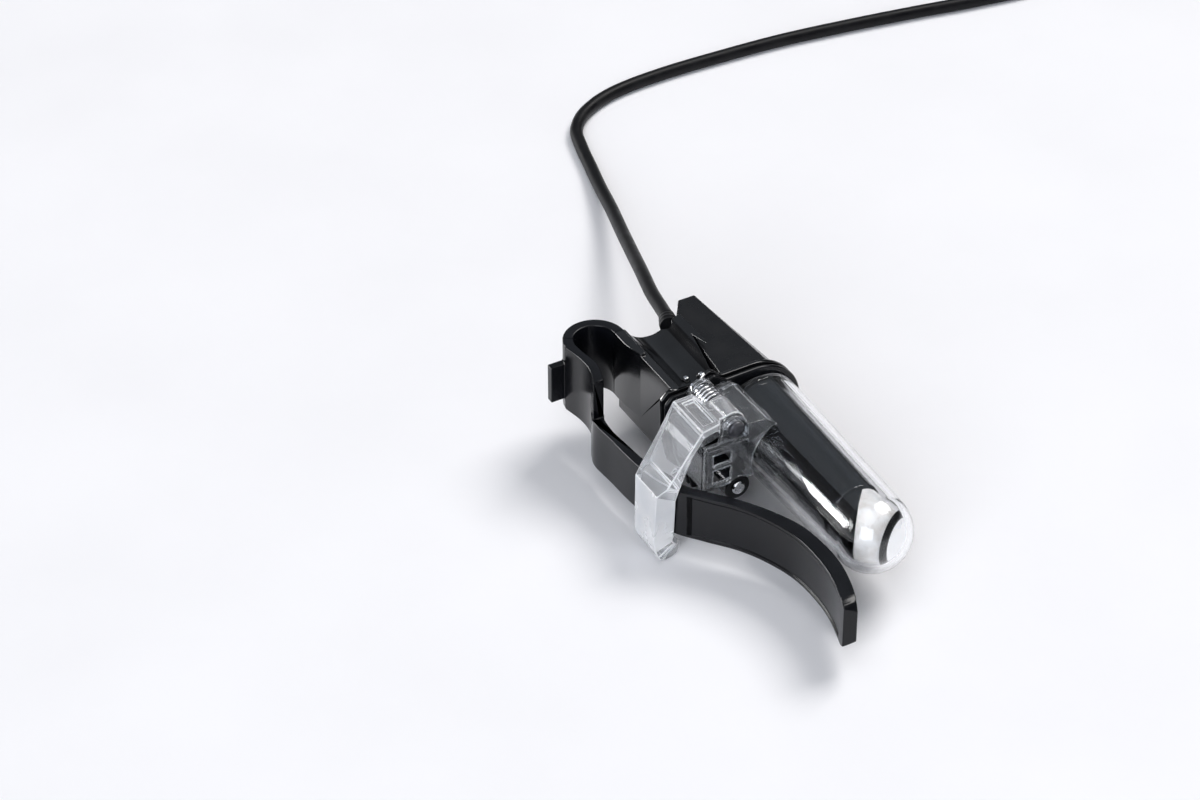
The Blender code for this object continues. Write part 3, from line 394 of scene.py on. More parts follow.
def surface(name, tones, roughness, grain, bump, **fixed):
    """A procedural material: two tones and a roughness range mixed by broad noise, and a bump of fine grain.

    The grain is in millimetres. What is the same all over is set on the shader's own sockets.
    """
    made = bpy.data.materials.new(name)
    made.use_nodes = True
    tree = made.node_tree
    shader = tree.nodes["Principled BSDF"]
    where = tree.nodes.new("ShaderNodeTexCoord")

    def noise(size, detail):
        node = tree.nodes.new("ShaderNodeTexNoise")
        node.inputs["Scale"].default_value = 1.0 / (size * MM)
        node.inputs["Detail"].default_value = detail
        tree.links.new(where.outputs["Object"], node.inputs["Vector"])
        return node.outputs["Fac"]

    broad, fine = noise(grain * BROAD_NOISE, 4.0), noise(grain, 2.0)
    mix = tree.nodes.new("ShaderNodeValToRGB")
    for element, position, tone in zip(mix.color_ramp.elements, TONE_SPAN, tones):
        element.position = position
        element.color = (*tone, 1.0)
    tree.links.new(broad, mix.inputs["Fac"])
    tree.links.new(mix.outputs["Color"], shader.inputs["Base Color"])
    spread = tree.nodes.new("ShaderNodeMapRange")
    spread.inputs["From Min"].default_value, spread.inputs["From Max"].default_value = ROUGH_SPAN
    spread.inputs["To Min"].default_value, spread.inputs["To Max"].default_value = roughness
    tree.links.new(broad, spread.inputs["Value"])
    tree.links.new(spread.outputs["Result"], shader.inputs["Roughness"])
    relief = tree.nodes.new("ShaderNodeBump")
    relief.inputs["Strength"].default_value = bump
    relief.inputs["Distance"].default_value = grain * MM * BUMP_DEPTH
    tree.links.new(fine, relief.inputs["Height"])
    tree.links.new(relief.outputs["Normal"], shader.inputs["Normal"])
    for socket, value in fixed.items():
        shader.inputs[socket.replace("_", " ")].default_value = value
    return made


LOOKS = {
    "black": surface(
        "moulded_black", ((0.0022, 0.0024, 0.0035), (0.0045, 0.005, 0.007)), (0.16, 0.26), 0.25, 0.08,
        Specular_IOR_Level=0.3,
    ),
    "wall": surface(
        "polished_black", ((0.0025, 0.0027, 0.0035), (0.005, 0.0055, 0.007)), (0.10, 0.18), 0.25, 0.06,
        Specular_IOR_Level=0.7,
    ),
    "satin": surface(
        "satin_black", ((0.003, 0.003, 0.004), (0.006, 0.006, 0.007)), (0.22, 0.34), 0.2, 0.12,
        Specular_IOR_Level=0.4,
    ),
    "gloss": surface(
        "gloss_black", ((0.002, 0.0025, 0.004), (0.004, 0.005, 0.008)), (0.02, 0.05), 0.5, 0.03,
        Specular_IOR_Level=0.35,
    ),
    "rubber": surface(
        "black_rubber", ((0.004, 0.004, 0.005), (0.008, 0.008, 0.009)), (0.34, 0.48), 0.15, 0.2,
        Specular_IOR_Level=0.15,
    ),
    "clear": surface(
        "clear_plastic", ((0.96, 0.97, 0.98), (0.985, 0.99, 1.0)), (0.0, 0.03), 0.8, 0.012,
        Transmission_Weight=1.0, IOR=1.49,
    ),
    "hazy": surface(
        "hazy_plastic", ((0.92, 0.93, 0.95), (0.97, 0.98, 1.0)), (0.01, 0.05), 0.8, 0.04,
        Transmission_Weight=0.82, IOR=1.45,
    ),
    "bracket": surface(
        "bracket_plastic", ((0.90, 0.92, 0.95), (0.95, 0.97, 1.0)), (0.02, 0.08), 0.8, 0.05,
        Transmission_Weight=0.96, IOR=1.47,
    ),
    "milky": surface(
        "milky_plastic", ((0.84, 0.86, 0.89), (1.0, 1.0, 1.0)), (0.16, 0.34), 0.3, 0.1,
        Transmission_Weight=0.32, IOR=1.45,
    ),
    # The frosted lens gets a weak white emission: a painted glow, standing in for lamplight that the clear
    # capsule holds back.
    "frost": surface(
        "frosted_lens", ((0.90, 0.91, 0.93), (0.98, 0.98, 0.99)), (0.25, 0.40), 0.3, 0.2,
        Transmission_Weight=0.1, IOR=1.49, Emission_Color=(1.0, 1.0, 1.0, 1.0), Emission_Strength=0.3,
    ),
    # The white body gets a weak white emission: a painted glow, standing in for lamplight that the clear
    # capsule holds back.
    "white": surface(
        "white_reflector", ((0.72, 0.68, 0.64), (0.97, 0.97, 0.97)), (0.08, 0.2), 0.12, 0.2,
        Emission_Color=(1.0, 1.0, 1.0, 1.0), Emission_Strength=0.18,
    ),
    "board": surface("circuit_board", ((0.01, 0.07, 0.03), (0.02, 0.14, 0.06)), (0.35, 0.5), 0.1, 0.2),
    "red": surface("red_emitter", ((0.45, 0.02, 0.01), (0.65, 0.04, 0.02)), (0.1, 0.2), 0.1, 0.05),
    "amber": surface("infrared_emitter", ((0.2, 0.14, 0.05), (0.3, 0.2, 0.08)), (0.1, 0.2), 0.1, 0.05),
    "chip": surface("sensor_chip", ((0.02, 0.02, 0.05), (0.04, 0.04, 0.08)), (0.1, 0.2), 0.1, 0.05),
    "steel": surface(
        "bright_steel", ((0.55, 0.56, 0.58), (0.72, 0.72, 0.74)), (0.12, 0.28), 0.08, 0.2, Metallic=1.0,
    ),
    "pin": surface(
        "dark_steel", ((0.05, 0.05, 0.06), (0.11, 0.11, 0.12)), (0.12, 0.25), 0.1, 0.1, Metallic=0.6,
    ),
    "wire": surface("wire_sleeve", ((0.4, 0.4, 0.42), (0.55, 0.55, 0.57)), (0.4, 0.55), 0.1, 0.2),
    "gold": surface(
        "gold_contact", ((0.75, 0.52, 0.2), (0.88, 0.66, 0.3)), (0.12, 0.25), 0.08, 0.1, Metallic=1.0,
    ),
}

# CAD nodes that are shown as they are, and their looks.
CARRIED = {
    "emitter_board": "board", "red_led": "red", "infrared_led": "amber", "photodiode": "chip",
    "light_barrier": "black", "lead_jacket_end": "rubber", "cable_clamp": "black",
    **{f"lead_wire_{k}": "wire" for k in range(1, 5)},
}


# ---------------------------------------------------------------- capsule


def dome(radius, steps):
    """Nose profile points from its equator to its pole."""
    angles = [math.pi / 2 * i / steps for i in range(steps)]
    return [(radius * math.cos(a), NOSE_Y - radius * math.sin(a)) for a in angles] + [(0.0, NOSE_Y - radius)]


def make_capsule():
    """Clear shell with a rounded rear rim and a domed nose."""
    inner_r, inner_base = NOSE_R - CAPSULE_WALL, CAPSULE_BASE_R - CAPSULE_WALL
    rim = [(CAPSULE_BASE_R - 0.12, CAPSULE_REAR_Y), (CAPSULE_BASE_R, CAPSULE_REAR_Y - 0.12)]
    outside = [*rim, *dome(NOSE_R, 28)]
    inside = [*reversed(dome(inner_r, 26)), (inner_base, CAPSULE_REAR_Y)]
    shell = turned("capsule_shell", outside + inside, AXIS_X, AXIS_Z, LOOKS["clear"], hollow=True)
    soften(shell, 0.04, 2, 50.0)
    place(shell, "housing", "clear_plastic", "clear_capsule")


def swung(piece, degrees):
    """The piece turned about the upright line through the middle of the nose."""
    middle = Matrix.Translation(at(AXIS_X, NOSE_Y, 0.0))
    piece.data.transform(middle @ Matrix.Rotation(math.radians(degrees), 4, "Z") @ middle.inverted())
    return piece


def make_core():
    """Polished black core, with chamfered ends and a stub for the collar."""
    stub_y = COLLAR_FRONT_Y + 2.2
    profile = [
        (CORE_BORE_R, stub_y), (CORE_STUB_R, stub_y), (CORE_STUB_R, CORE_REAR_Y), (CORE_BASE_R, CORE_REAR_Y),
        (CORE_FRONT_R + 0.02, CORE_FRONT_Y + 0.28), (CORE_FRONT_R - 0.24, CORE_FRONT_Y),
        (CORE_BORE_R, CORE_FRONT_Y),
    ]
    core = turned("core_barrel", profile, AXIS_X, AXIS_Z, LOOKS["gloss"], hollow=True)
    place(soften(core, 0.1), "housing", "gloss_black", "light_core")


def beyond_cut(name):
    """A cutter for all that lies in front of the head's slanting cut."""
    slope = math.tan(math.radians(CUT_DEG))
    near = (AXIS_X - CUT_REACH, CUT_Y - CUT_REACH * slope)
    far = (AXIS_X + CUT_REACH, CUT_Y + CUT_REACH * slope)
    return prism(name, "Z", [near, far, (far[0], -60.0), (near[0], -60.0)], -10.0, 20.0)


def make_head():
    """Black ring and white body that meet in a slanting cut, with a window in a dark rim turned to one side."""
    ring_front_y = RING_FRONT[-1][1]
    ring_profile = [(CORE_BORE_R, HEAD_REAR_Y), (HEAD_R, HEAD_REAR_Y), *RING_FRONT, (CORE_BORE_R, ring_front_y)]
    ring = turned("core_ring", ring_profile, AXIS_X, AXIS_Z, LOOKS["black"], hollow=True)
    place(soften(cut(ring, beyond_cut("front")), 0.12), "housing", "black_plastic", "core_end_ring")
    cup_profile = [(0.0, HEAD_REAR_Y), (HEAD_R - 0.15, HEAD_REAR_Y), *dome(HEAD_R, 24)]
    # The white body's look carries a painted glow, a weak emission in the place of lamplight.
    body = turned("emitter_cup", cup_profile, AXIS_X, AXIS_Z, LOOKS["white"])
    combine(body, "INTERSECT", beyond_cut("front"))
    cut(body, swung(rod("face", AXIS_X, AXIS_Z, 6.0, (WINDOW_Y - 5.0, WINDOW_Y)), WINDOW_DEG))
    cut(body, turned("room", CUP_ROOM, AXIS_X, AXIS_Z, sides=48))
    place(soften(body, 0.06), "housing", "white_reflector", "reflector_cup")
    rim = swung(turned("cup_ring", RIM_PROFILE, AXIS_X, AXIS_Z, LOOKS["black"], hollow=True), WINDOW_DEG)
    place(soften(rim, 0.04), "housing", "black_plastic", "retaining_ring")
    angles = [math.radians(LENS_FROM_DEG + LENS_STEP_DEG * i) for i in range(LENS_STEPS)]
    cap = [(LENS_REACH * math.cos(a), NOSE_Y - LENS_REACH * math.sin(a)) for a in angles]
    lens_profile = [(0.0, LENS_REAR_Y), (LENS_R, LENS_REAR_Y), *cap, (0.0, NOSE_Y - LENS_REACH)]
    # The lens's look carries a painted glow as well, a weak emission in the place of lamplight.
    lens = turned("emitter_lens", lens_profile, AXIS_X, AXIS_Z, LOOKS["frost"])
    place(soften(swung(lens, WINDOW_DEG), 0.04), "housing", "frosted_lens", "diffuser_lens")


# ---------------------------------------------------------------- collar, tail and root


def keyhole(inset):
    """The collar's outline: round right end, flat left end, a hump on top and, with no inset, a foot below."""
    left, radius = COLLAR_LEFT_X + inset, COLLAR_R - inset
    low, high = COLLAR_Z - radius, COLLAR_Z + radius
    outline = [(left + LEFT_BEVEL, low)]
    if not inset:
        outline += [(FOOT_X[0], low), (FOOT_X[0] + FOOT_SLOPE, TABLE_Z + 0.01)]
        outline += [(FOOT_X[1] - FOOT_SLOPE, TABLE_Z + 0.01), (FOOT_X[1], low)]
    outline += arc(COLLAR_X, COLLAR_Z, radius, -90, 90, 60)
    outline += [(x, high + rise) for x, rise in HUMP]
    return [*outline, (left + LEFT_BEVEL, high), (left, high - LEFT_BEVEL), (left, low + LEFT_BEVEL)]


def core_hole():
    """A cutter for the hole through the collar that the core's stub stands in."""
    return rod("hole", AXIS_X, AXIS_Z, CORE_HOLE_R, (-20.0, -10.0))


def make_collar():
    """Front plate of the collar, and the seal behind it."""
    rear_y = COLLAR_FRONT_Y + PLATE_T
    plate = prism("collar_plate", "Y", keyhole(0.0), COLLAR_FRONT_Y, rear_y, LOOKS["black"])
    place(soften(cut(plate, core_hole()), 0.24), "housing", "black_plastic", "collar_flange")
    seal_y = rear_y + GAP
    gasket = prism("collar_seal", "Y", keyhole(GASKET_INSET), seal_y, seal_y + GASKET_T, LOOKS["rubber"])
    place(soften(cut(gasket, core_hole()), 0.06), "housing", "black_rubber", "flange_gasket")


def tail_loft(name, grow, front_y, rear_y, look=None):
    """The tail's eight-sided taper, grown outwards by an amount."""
    bm = bmesh.new()
    rings = []
    for y in (front_y, rear_y):
        t = (y - TAIL_FRONT_Y) / (TAIL_REAR_Y - TAIL_FRONT_Y)
        corners = [Vector(a).lerp(Vector(b), t) for a, b in zip(TAIL_FRONT, TAIL_REAR)]
        middle = sum(corners, Vector((0.0, 0.0))) / len(corners)
        scale = 1 + grow / min(abs(c.x - middle.x) + abs(c.y - middle.y) * 0.2 for c in corners)
        grown = [middle + (c - middle) * scale for c in corners]
        rings.append([bm.verts.new(at(p.x, y, p.y)) for p in grown])
    skin(bm, rings)
    return finish(name, bm, look)


def lead_channel(radius):
    """The bore that carries the lead from its exit through the saddle into the tail."""
    start, end = at(*EXIT), at(*CHANNEL_END)
    along = (end - start).normalized() * MM
    return tube("channel", [start - along * 1.5, end + along * 1.5], radius * MM, sides=32)


def make_tail():
    """Two half shells that meet in a fine seam."""
    halves = {
        "tail_top": ("tail_shell_upper", (AXIS_Z + GAP / 2, 20.0)),
        "tail_base": ("tail_shell_lower", (-5.0, AXIS_Z - GAP / 2)),
    }
    for name, (node, z) in halves.items():
        shell = tail_loft(name, 0.0, TAIL_FRONT_Y, TAIL_REAR_Y, LOOKS["satin"])
        cut(shell, tail_loft("inside", -TAIL_WALL, TAIL_FRONT_Y - 1.0, TAIL_REAR_Y - 2.2))
        cut(shell, prism("notch", "Z", TAIL_NOTCH, -5.0, 20.0), lead_channel(CHANNEL_R))
        combine(shell, "INTERSECT", block("half", (0.0, 20.0), (-20.0, 5.0), z))
        place(soften(shell, 0.16), "housing", "black_plastic", node)


def make_root():
    """Rear collar plate, wall, saddle and the stub that the spring starts from, with the locating pins."""
    plate_y = COLLAR_FRONT_Y + PLATE_T + GASKET_T + 2 * GAP
    root = prism("clip_base", "Y", keyhole(0.0), plate_y, plate_y + PLATE_T, LOOKS["wall"])
    saddle = [tuple(p) for p in smooth(SADDLE, 6)]
    body = prism("body", "Y", [*ROOT_LOW, *reversed(saddle), (ROOT_WALL_X, 12.3)], plate_y + 0.2, ROOT_REAR_Y)
    spring_y, inner_x, outer_x = LOOP_Y - GAP, LOOP_X + LOOP_INNER_R, LOOP_X + LOOP_OUTER_R
    loop_room = [*arc(LOOP_X, spring_y, LOOP_OUTER_R + GAP, 0, 90, 24), (LOOP_X, spring_y)]
    cut(body, tail_loft("tail", 0.25, TAIL_FRONT_Y - 2.0, TAIL_REAR_Y + 2.0))
    cut(body, prism("room", "Z", loop_room, -1.0, 20.0))
    stub = [
        (ROOT_WALL_X + 0.4, STUB_FRONT_Y), (ROOT_WALL_X, STUB_FRONT_Y), (inner_x, STUB_BEND_Y),
        (inner_x, spring_y + 0.08), (outer_x, spring_y + 0.08), (outer_x, STUB_FRONT_Y),
    ]
    join(root, body, prism("stub", "Z", stub, LOOP_LOW_Z, LOOP_HIGH_Z))
    cut(root, core_hole(), lead_channel(CHANNEL_R))
    for k, (x, y) in enumerate(PINS):
        cut(root, prism("hole", "Z", arc(x, y, LOCATING_PIN_R + GAP, 0, 345, 23), 8.0, 14.0))
        circle = arc(x, y, LOCATING_PIN_R, 0, 345, 23)
        pin = prism(f"pin_head_{k + 1}", "Z", circle, *LOCATING_PIN_Z, LOOKS["steel"])
        place(soften(pin, 0.15), "housing", "bright_steel", f"locating_pin_{k + 1}")
    place(soften(root, 0.12), "housing", "black_plastic", "clip_root")


# ---------------------------------------------------------------- spring and arm


def make_loop():
    """The U-shaped living spring between the housing and the arm."""
    half, bevel, steps = (LOOP_OUTER_R - LOOP_INNER_R) / 2, 0.14, 72
    middle_r = (LOOP_OUTER_R + LOOP_INNER_R) / 2
    low, high = LOOP_LOW_Z, LOOP_HIGH_Z
    angles = (0.0, math.pi / 6, math.pi / 3, math.pi / 2)
    corner = [(bevel * (1 - math.cos(a)), bevel * (1 - math.sin(a))) for a in angles]
    section = [(-half + u, low + v) for u, v in corner] + [(half - u, low + v) for u, v in reversed(corner)]
    section += [(half - u, high - v) for u, v in corner] + [(-half + u, high - v) for u, v in reversed(corner)]
    bm = bmesh.new()
    rings = []
    for i in range(steps + 1):
        turn = math.radians(LOOP_END_DEG * i / steps)
        spoke = Vector((math.cos(turn), math.sin(turn)))
        spots = [(LOOP_X + spoke.x * (middle_r + u), LOOP_Y + spoke.y * (middle_r + u), z) for u, z in section]
        rings.append([bm.verts.new(at(*spot)) for spot in spots])
    skin(bm, rings)
    loop = finish("living_spring", bm, LOOKS["black"])
    loop.data.shade_smooth()
    loop.data.set_sharp_from_angle(angle=math.radians(50))
    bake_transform(loop)
    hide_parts("spring_loop")


def strip(outer, inner, steps):
    """A closed plan outline between two smooth curves."""
    return [tuple(p) for p in smooth(outer, steps) + smooth(inner, steps)[::-1]]


def make_arm():
    """Rear leg with its thumb tab, and the long curved arm with a sunk panel and rounded corners at its tip."""
    leg_outer = arc(LOOP_X, LOOP_Y, LOOP_OUTER_R, ARM_START_DEG, 174, 3) + LEG_OUTER
    leg_inner = arc(LOOP_X, LOOP_Y, LOOP_INNER_R, ARM_START_DEG, 174, 3) + LEG_INNER
    arm = prism("clip_blade", "Z", strip(ARM_OUTER, ARM_INNER, 8), ARM_LOW_Z, ARM_HIGH_Z, LOOKS["black"])
    tip, corner = min(y for _, y in ARM_INNER) - 0.2, TIP_CORNER_R
    side = [
        (0.0, ARM_LOW_Z - 0.01), *arc(tip + corner, ARM_LOW_Z + corner, corner, 270, 180, 12),
        *arc(tip + corner, ARM_HIGH_Z - corner, corner, 180, 90, 12), (0.0, ARM_HIGH_Z + 0.01),
    ]
    combine(arm, "INTERSECT", prism("side", "X", side, -12.0, 8.0))
    sunk = [(x + PANEL_DEPTH, y) for x, y in smooth(ARM_OUTER, 8) if PANEL_Y[0] < y < PANEL_Y[1]]
    proud = [(x - 2.0, y - 0.6) for x, y in sunk]
    panel_z = (ARM_LOW_Z + PANEL_BORDER, ARM_HIGH_Z - PANEL_BORDER)
    cut(arm, prism("panel", "Z", sunk + proud[::-1], *panel_z))
    leg = prism("leg", "Z", strip(leg_outer, leg_inner, 4), LOOP_LOW_Z, LOOP_HIGH_Z)
    join(arm, leg, block("tab", TAB_X, TAB_Y, TAB_Z))
    place(soften(arm, 0.12), "arm", "black_plastic", "clip_arm")


# ---------------------------------------------------------------- keeper, bracket and hinge


def make_keeper():
    """Clear bail: a knuckle on the hinge pin, a top plate, a slanting facet and a milky leg outside the arm."""
    bm = bmesh.new()
    rings = []
    for outer, inner, (front, back) in KEEPER:
        corners = [(outer, back), (outer, front), (inner, front), (inner, back)]
        rings.append([bm.verts.new(at(p[0], y, p[1])) for p, y in corners])
    skin(bm, rings)
    bm.faces.ensure_lookup_table()
    for face in bm.faces[4 * LEG_STATIONS[0]:4 * LEG_STATIONS[1]]:
        face.material_index = 1
    keeper = finish("keeper_bail", bm, LOOKS["hazy"])
    # Slot 1 is the milky plastic: the leg's own material, and on the rounded edges a painted highlight along
    # the ridges.
    keeper.data.materials.append(LOOKS["milky"])
    join(keeper, rod("knuckle", HINGE_X, HINGE_Z, KNUCKLE_R, KNUCKLE_Y))
    join(keeper, block("nub", *NUB))
    cut(keeper, rod("bore", HINGE_X, HINGE_Z, BORE_R, THROUGH_Y))
    cut(keeper, block("pocket", *TOP_POCKET))
    clearance = [(x - ARM_CLEARANCE, y) for x, y in ARM_OUTER]
    inside = [(ARM_SWEEP_X, ARM_OUTER[-1][1]), (ARM_SWEEP_X, ARM_OUTER[0][1])]
    swept = [tuple(p) for p in smooth(clearance, 6)] + inside
    cut(keeper, prism("arm", "Z", swept, ARM_LOW_Z - 0.3, ARM_HIGH_Z + 0.2))
    place(soften(keeper, 0.13, 3, 22.0, ridge_highlight_slot=1), "keeper", "clear_plastic", "clear_keeper")


def make_bracket():
    """Clear bracket: back plate, ladder front, left wall, web under the barrel and saddle on the capsule."""
    depth = (BRACKET_FRONT_Y[0] + 0.01, BRACKET_BACK_Y[1] - 0.01)
    left = BRACKET_LEFT_X
    bracket = prism("bracket_frame", "Y", BRACKET_BACK, *BRACKET_BACK_Y, LOOKS["bracket"])
    join(
        bracket,
        prism("front", "Y", BRACKET_FRONT, *BRACKET_FRONT_Y),
        rod("ear", HINGE_X, HINGE_Z, EAR_R, BRACKET_FRONT_Y),
        rod("ear", HINGE_X, HINGE_Z, EAR_R, BRACKET_BACK_Y),
        prism("saddle", "Y", BRACKET_SADDLE, *depth),
        block("wall", (left + 0.01, left + BRACKET_WALL), depth, (4.41, 10.59)),
        block("web", (left + 0.02, WEB_RIGHT_X), depth, WEB_Z),
    )
    for window_z in WINDOWS_Z:
        cut(bracket, block("window", WINDOWS_X, (-27.0, -24.0), window_z))
    taper = (NOSE_R - CAPSULE_BASE_R) / (NOSE_Y - CAPSULE_REAR_Y)
    grown = [(CAPSULE_BASE_R + 0.2, -17.0), (CAPSULE_BASE_R + taper * (-26.0 - CAPSULE_REAR_Y) + 0.17, -26.0)]
    cut(
        bracket,
        turned("capsule", grown, AXIS_X, AXIS_Z),
        rod("bore", HINGE_X, HINGE_Z, BORE_R, THROUGH_Y),
        rod("post", POST_X, POST_Z, POST_R + GAP, THROUGH_Y),
    )
    # The less clear hazy plastic on the rounded edges paints highlight lines along the bracket's ridges.
    bracket.data.materials.append(LOOKS["hazy"])
    place(soften(bracket, 0.07, 2, ridge_highlight_slot=1), "housing", "clear_plastic", "hinge_bracket")


def make_hinge():
    """Dark pin with a domed head, its torsion spring, and the post and cross-slotted screw of the bracket."""
    pin = turned("pin_shaft", PIN_PROFILE, HINGE_X, HINGE_Z, LOOKS["pin"], 48)
    place(soften(pin, 0.05), "housing", "bright_steel", "hinge_pin")
    steps, coil = 32, []
    for i in range(SPRING_TURNS * steps + 1):
        turn = 2 * math.pi * i / steps
        y = SPRING_Y[1] + (SPRING_Y[0] - SPRING_Y[1]) * i / (SPRING_TURNS * steps)
        coil.append(at(HINGE_X + SPRING_R * math.cos(turn), y, HINGE_Z + SPRING_R * math.sin(turn)))
    spring = tube("torsion_spring", coil, SPRING_WIRE_R * MM, LOOKS["steel"], 12)
    place(soften(spring, 0.03, 2, 60.0), "housing", "bright_steel", "keeper_spring")
    post = rod("screw_post", POST_X, POST_Z, POST_R, POST_Y, LOOKS["black"])
    cut(post, rod("bore", POST_X, POST_Z, SCREW_R + GAP, (-27.0, -20.2)))
    place(soften(post, 0.15), "housing", "black_plastic", "bracket_post")
    head_y = POST_Y[0] - GAP
    face_y, end_y = SCREW_Y
    head = [(SCREW_HEAD_R, head_y), (SCREW_FACE_R, face_y), (0.0, face_y)]
    profile = [(SCREW_R, end_y), (SCREW_R, head_y), *head]
    screw = turned("slotted_screw", profile, POST_X, POST_Z, LOOKS["steel"], 32)
    for wide, high in ((CROSS_LONG, CROSS_WIDE), (CROSS_WIDE, CROSS_LONG)):
        cut(screw, block("cross", (POST_X - wide, POST_X + wide), CROSS_Y, (POST_Z - high, POST_Z + high)))
    place(soften(screw, 0.03, 2), "housing", "bright_steel", "bracket_screw")


# ---------------------------------------------------------------- lead, coil and plug


def coil_turns():
    """Centre points of the wound turns: layers of turns a diameter apart, each wound back over the last."""
    step, per_turn = 2 * LEAD_R, 40
    outer = COIL_R + step
    columns = [outer - k * step for k in range(COIL_COLUMNS)]
    slots = []
    for layer in range(COIL_LAYERS):
        order = columns if layer % 2 == 0 else columns[::-1]
        slots += [(radius, LEAD_Z + layer * step * LAYER_LIFT) for radius in order]
    points = []
    total = len(slots) * 360.0 + (LEAD_END_DEG - COIL_FIRST_DEG) % 360.0 - 360.0
    count = round(total / 360.0 * per_turn)
    for i in range(1, count + 1):
        turned_by = total * i / count
        at_slot = min(turned_by / 360.0, len(slots) - 1.001)
        k, share = int(at_slot), at_slot - int(at_slot)
        shift = max(0.0, (share - (1 - SLOT_CHANGE)) / SLOT_CHANGE)
        shift = shift * shift * (3 - 2 * shift)
        radius = slots[k][0] + (slots[k + 1][0] - slots[k][0]) * shift
        height = slots[k][1] + (slots[k + 1][1] - slots[k][1]) * shift
        if i < per_turn // 4:
            radius += (1 - i / (per_turn / 4)) ** 2 * COIL_RUN_IN
        a = math.radians(COIL_FIRST_DEG + turned_by)
        points.append(at(COIL_X + radius * math.cos(a), COIL_Y + radius * math.sin(a), height))
    return points


def plug_frame():
    """Where the plug's boot ends and which way the lead's end runs, in metres."""
    turn = math.radians(LEAD_END_DEG)
    out = Vector((math.cos(turn), math.sin(turn), 0.0))
    heading = Vector((-out.y, out.x, 0.0))
    leaves = at(COIL_X, COIL_Y, TABLE_Z + PLUG_R + 0.02) + out * (COIL_R + COIL_WIDE / 2 + LEAD_R + 0.35) * MM
    return leaves, heading


def make_lead(pieces_on_it):
    """The free lead: out of its sleeve, down to the table, along it, round the coil and on to the plug."""
    start = at(*EXIT)
    out = (at(*LEAD_ROUTE[0]) - start).normalized()
    first = start + out * RELIEF_LENGTH * 0.5 * MM
    free = smooth([first, *(at(*p) for p in LEAD_ROUTE)], 8)
    leaves, heading = plug_frame()
    end = [leaves + heading * (LEAD_END_LENGTH + 1.2) * MM * share for share in (0.35, 0.7, 1.0)]
    route = free + coil_turns()
    route = route[: len(route) - 3] + smooth([route[-4], *end], 6)[1:]
    curve = bpy.data.curves.new("free_lead", "CURVE")
    curve.dimensions = "3D"
    curve.bevel_depth = LEAD_R * MM
    curve.bevel_resolution = 5
    curve.use_fill_caps = True
    spline = curve.splines.new("POLY")
    spline.points.add(len(route) - 1)
    for point, spot in zip(spline.points, route):
        point.co = (*spot, 1.0)
    curve.materials.append(LOOKS["rubber"])
    lead = bpy.data.objects.new("free_lead", curve)
    bpy.context.collection.objects.link(lead)
    place(lead, "housing", "black_rubber", "lead_cable", "lead_coil", "lead_end")


def make_relief():
    """Tapered sleeve with two shallow ribs where the lead leaves the saddle."""
    start = at(*EXIT)
    out = (at(*LEAD_ROUTE[0]) - start).normalized()
    steps = 24
    points = [start + out * (0.12 + RELIEF_LENGTH * i / steps) * MM for i in range(steps + 1)]

    def radius(share):
        taper = RELIEF_BASE_R + (LEAD_R + 0.06 - RELIEF_BASE_R) * max(0.0, (share - 0.35) / 0.65)
        return (taper + 0.05 * max(0.0, math.cos(share * 6 * math.pi))) * MM

    sleeve = tube("lead_sleeve", points, radius, LOOKS["rubber"], 32)
    return place(soften(sleeve, 0.04, 2, 60.0), "housing", "black_rubber", "strain_relief")


def make_tie():
    """A strap round the coil with a small buckle."""
    half, high = COIL_WIDE / 2, TABLE_Z + COIL_HIGH
    x, wide, tall, low = COIL_X - COIL_R, half + TIE_ROOM, high + TIE_ROOM, TABLE_Z + 0.02
    far = wide + TIE_T
    band = [(x - far, low), (x + far, low), (x + far, tall + TIE_T), (x - far, tall + TIE_T)]
    tie = prism("coil_strap", "Y", band, COIL_Y - TIE_WIDE / 2, COIL_Y + TIE_WIDE / 2, LOOKS["rubber"])
    hole = [(x - wide, low - 1.0), (x + wide, low - 1.0), (x + wide, tall), (x - wide, tall)]
    cut(tie, prism("hole", "Y", hole, COIL_Y - TIE_WIDE, COIL_Y + TIE_WIDE))
    buckle_y = (COIL_Y - BUCKLE_HALF_Y, COIL_Y + BUCKLE_HALF_Y)
    join(tie, block("buckle", [x + u for u in BUCKLE_X], buckle_y, [tall + w for w in BUCKLE_Z]))
    return place(soften(tie, 0.12), "housing", "tie_strap", "coil_tie")


def fluted(name, profile, flutes, depth, look, sides=144):
    """A turned profile of (radius, y, share of flute) with flutes running along it."""
    bm = bmesh.new()
    rings = []
    for radius, y, share in profile:
        spots = []
        for i in range(sides):
            a = 2 * math.pi * i / sides
            r = radius - depth * share * max(0.0, math.cos(a * flutes)) ** 2
            spots.append(at(r * math.cos(a), y, r * math.sin(a)))
        rings.append([bm.verts.new(spot) for spot in spots])
    skin(bm, rings)
    return finish(name, bm, look)


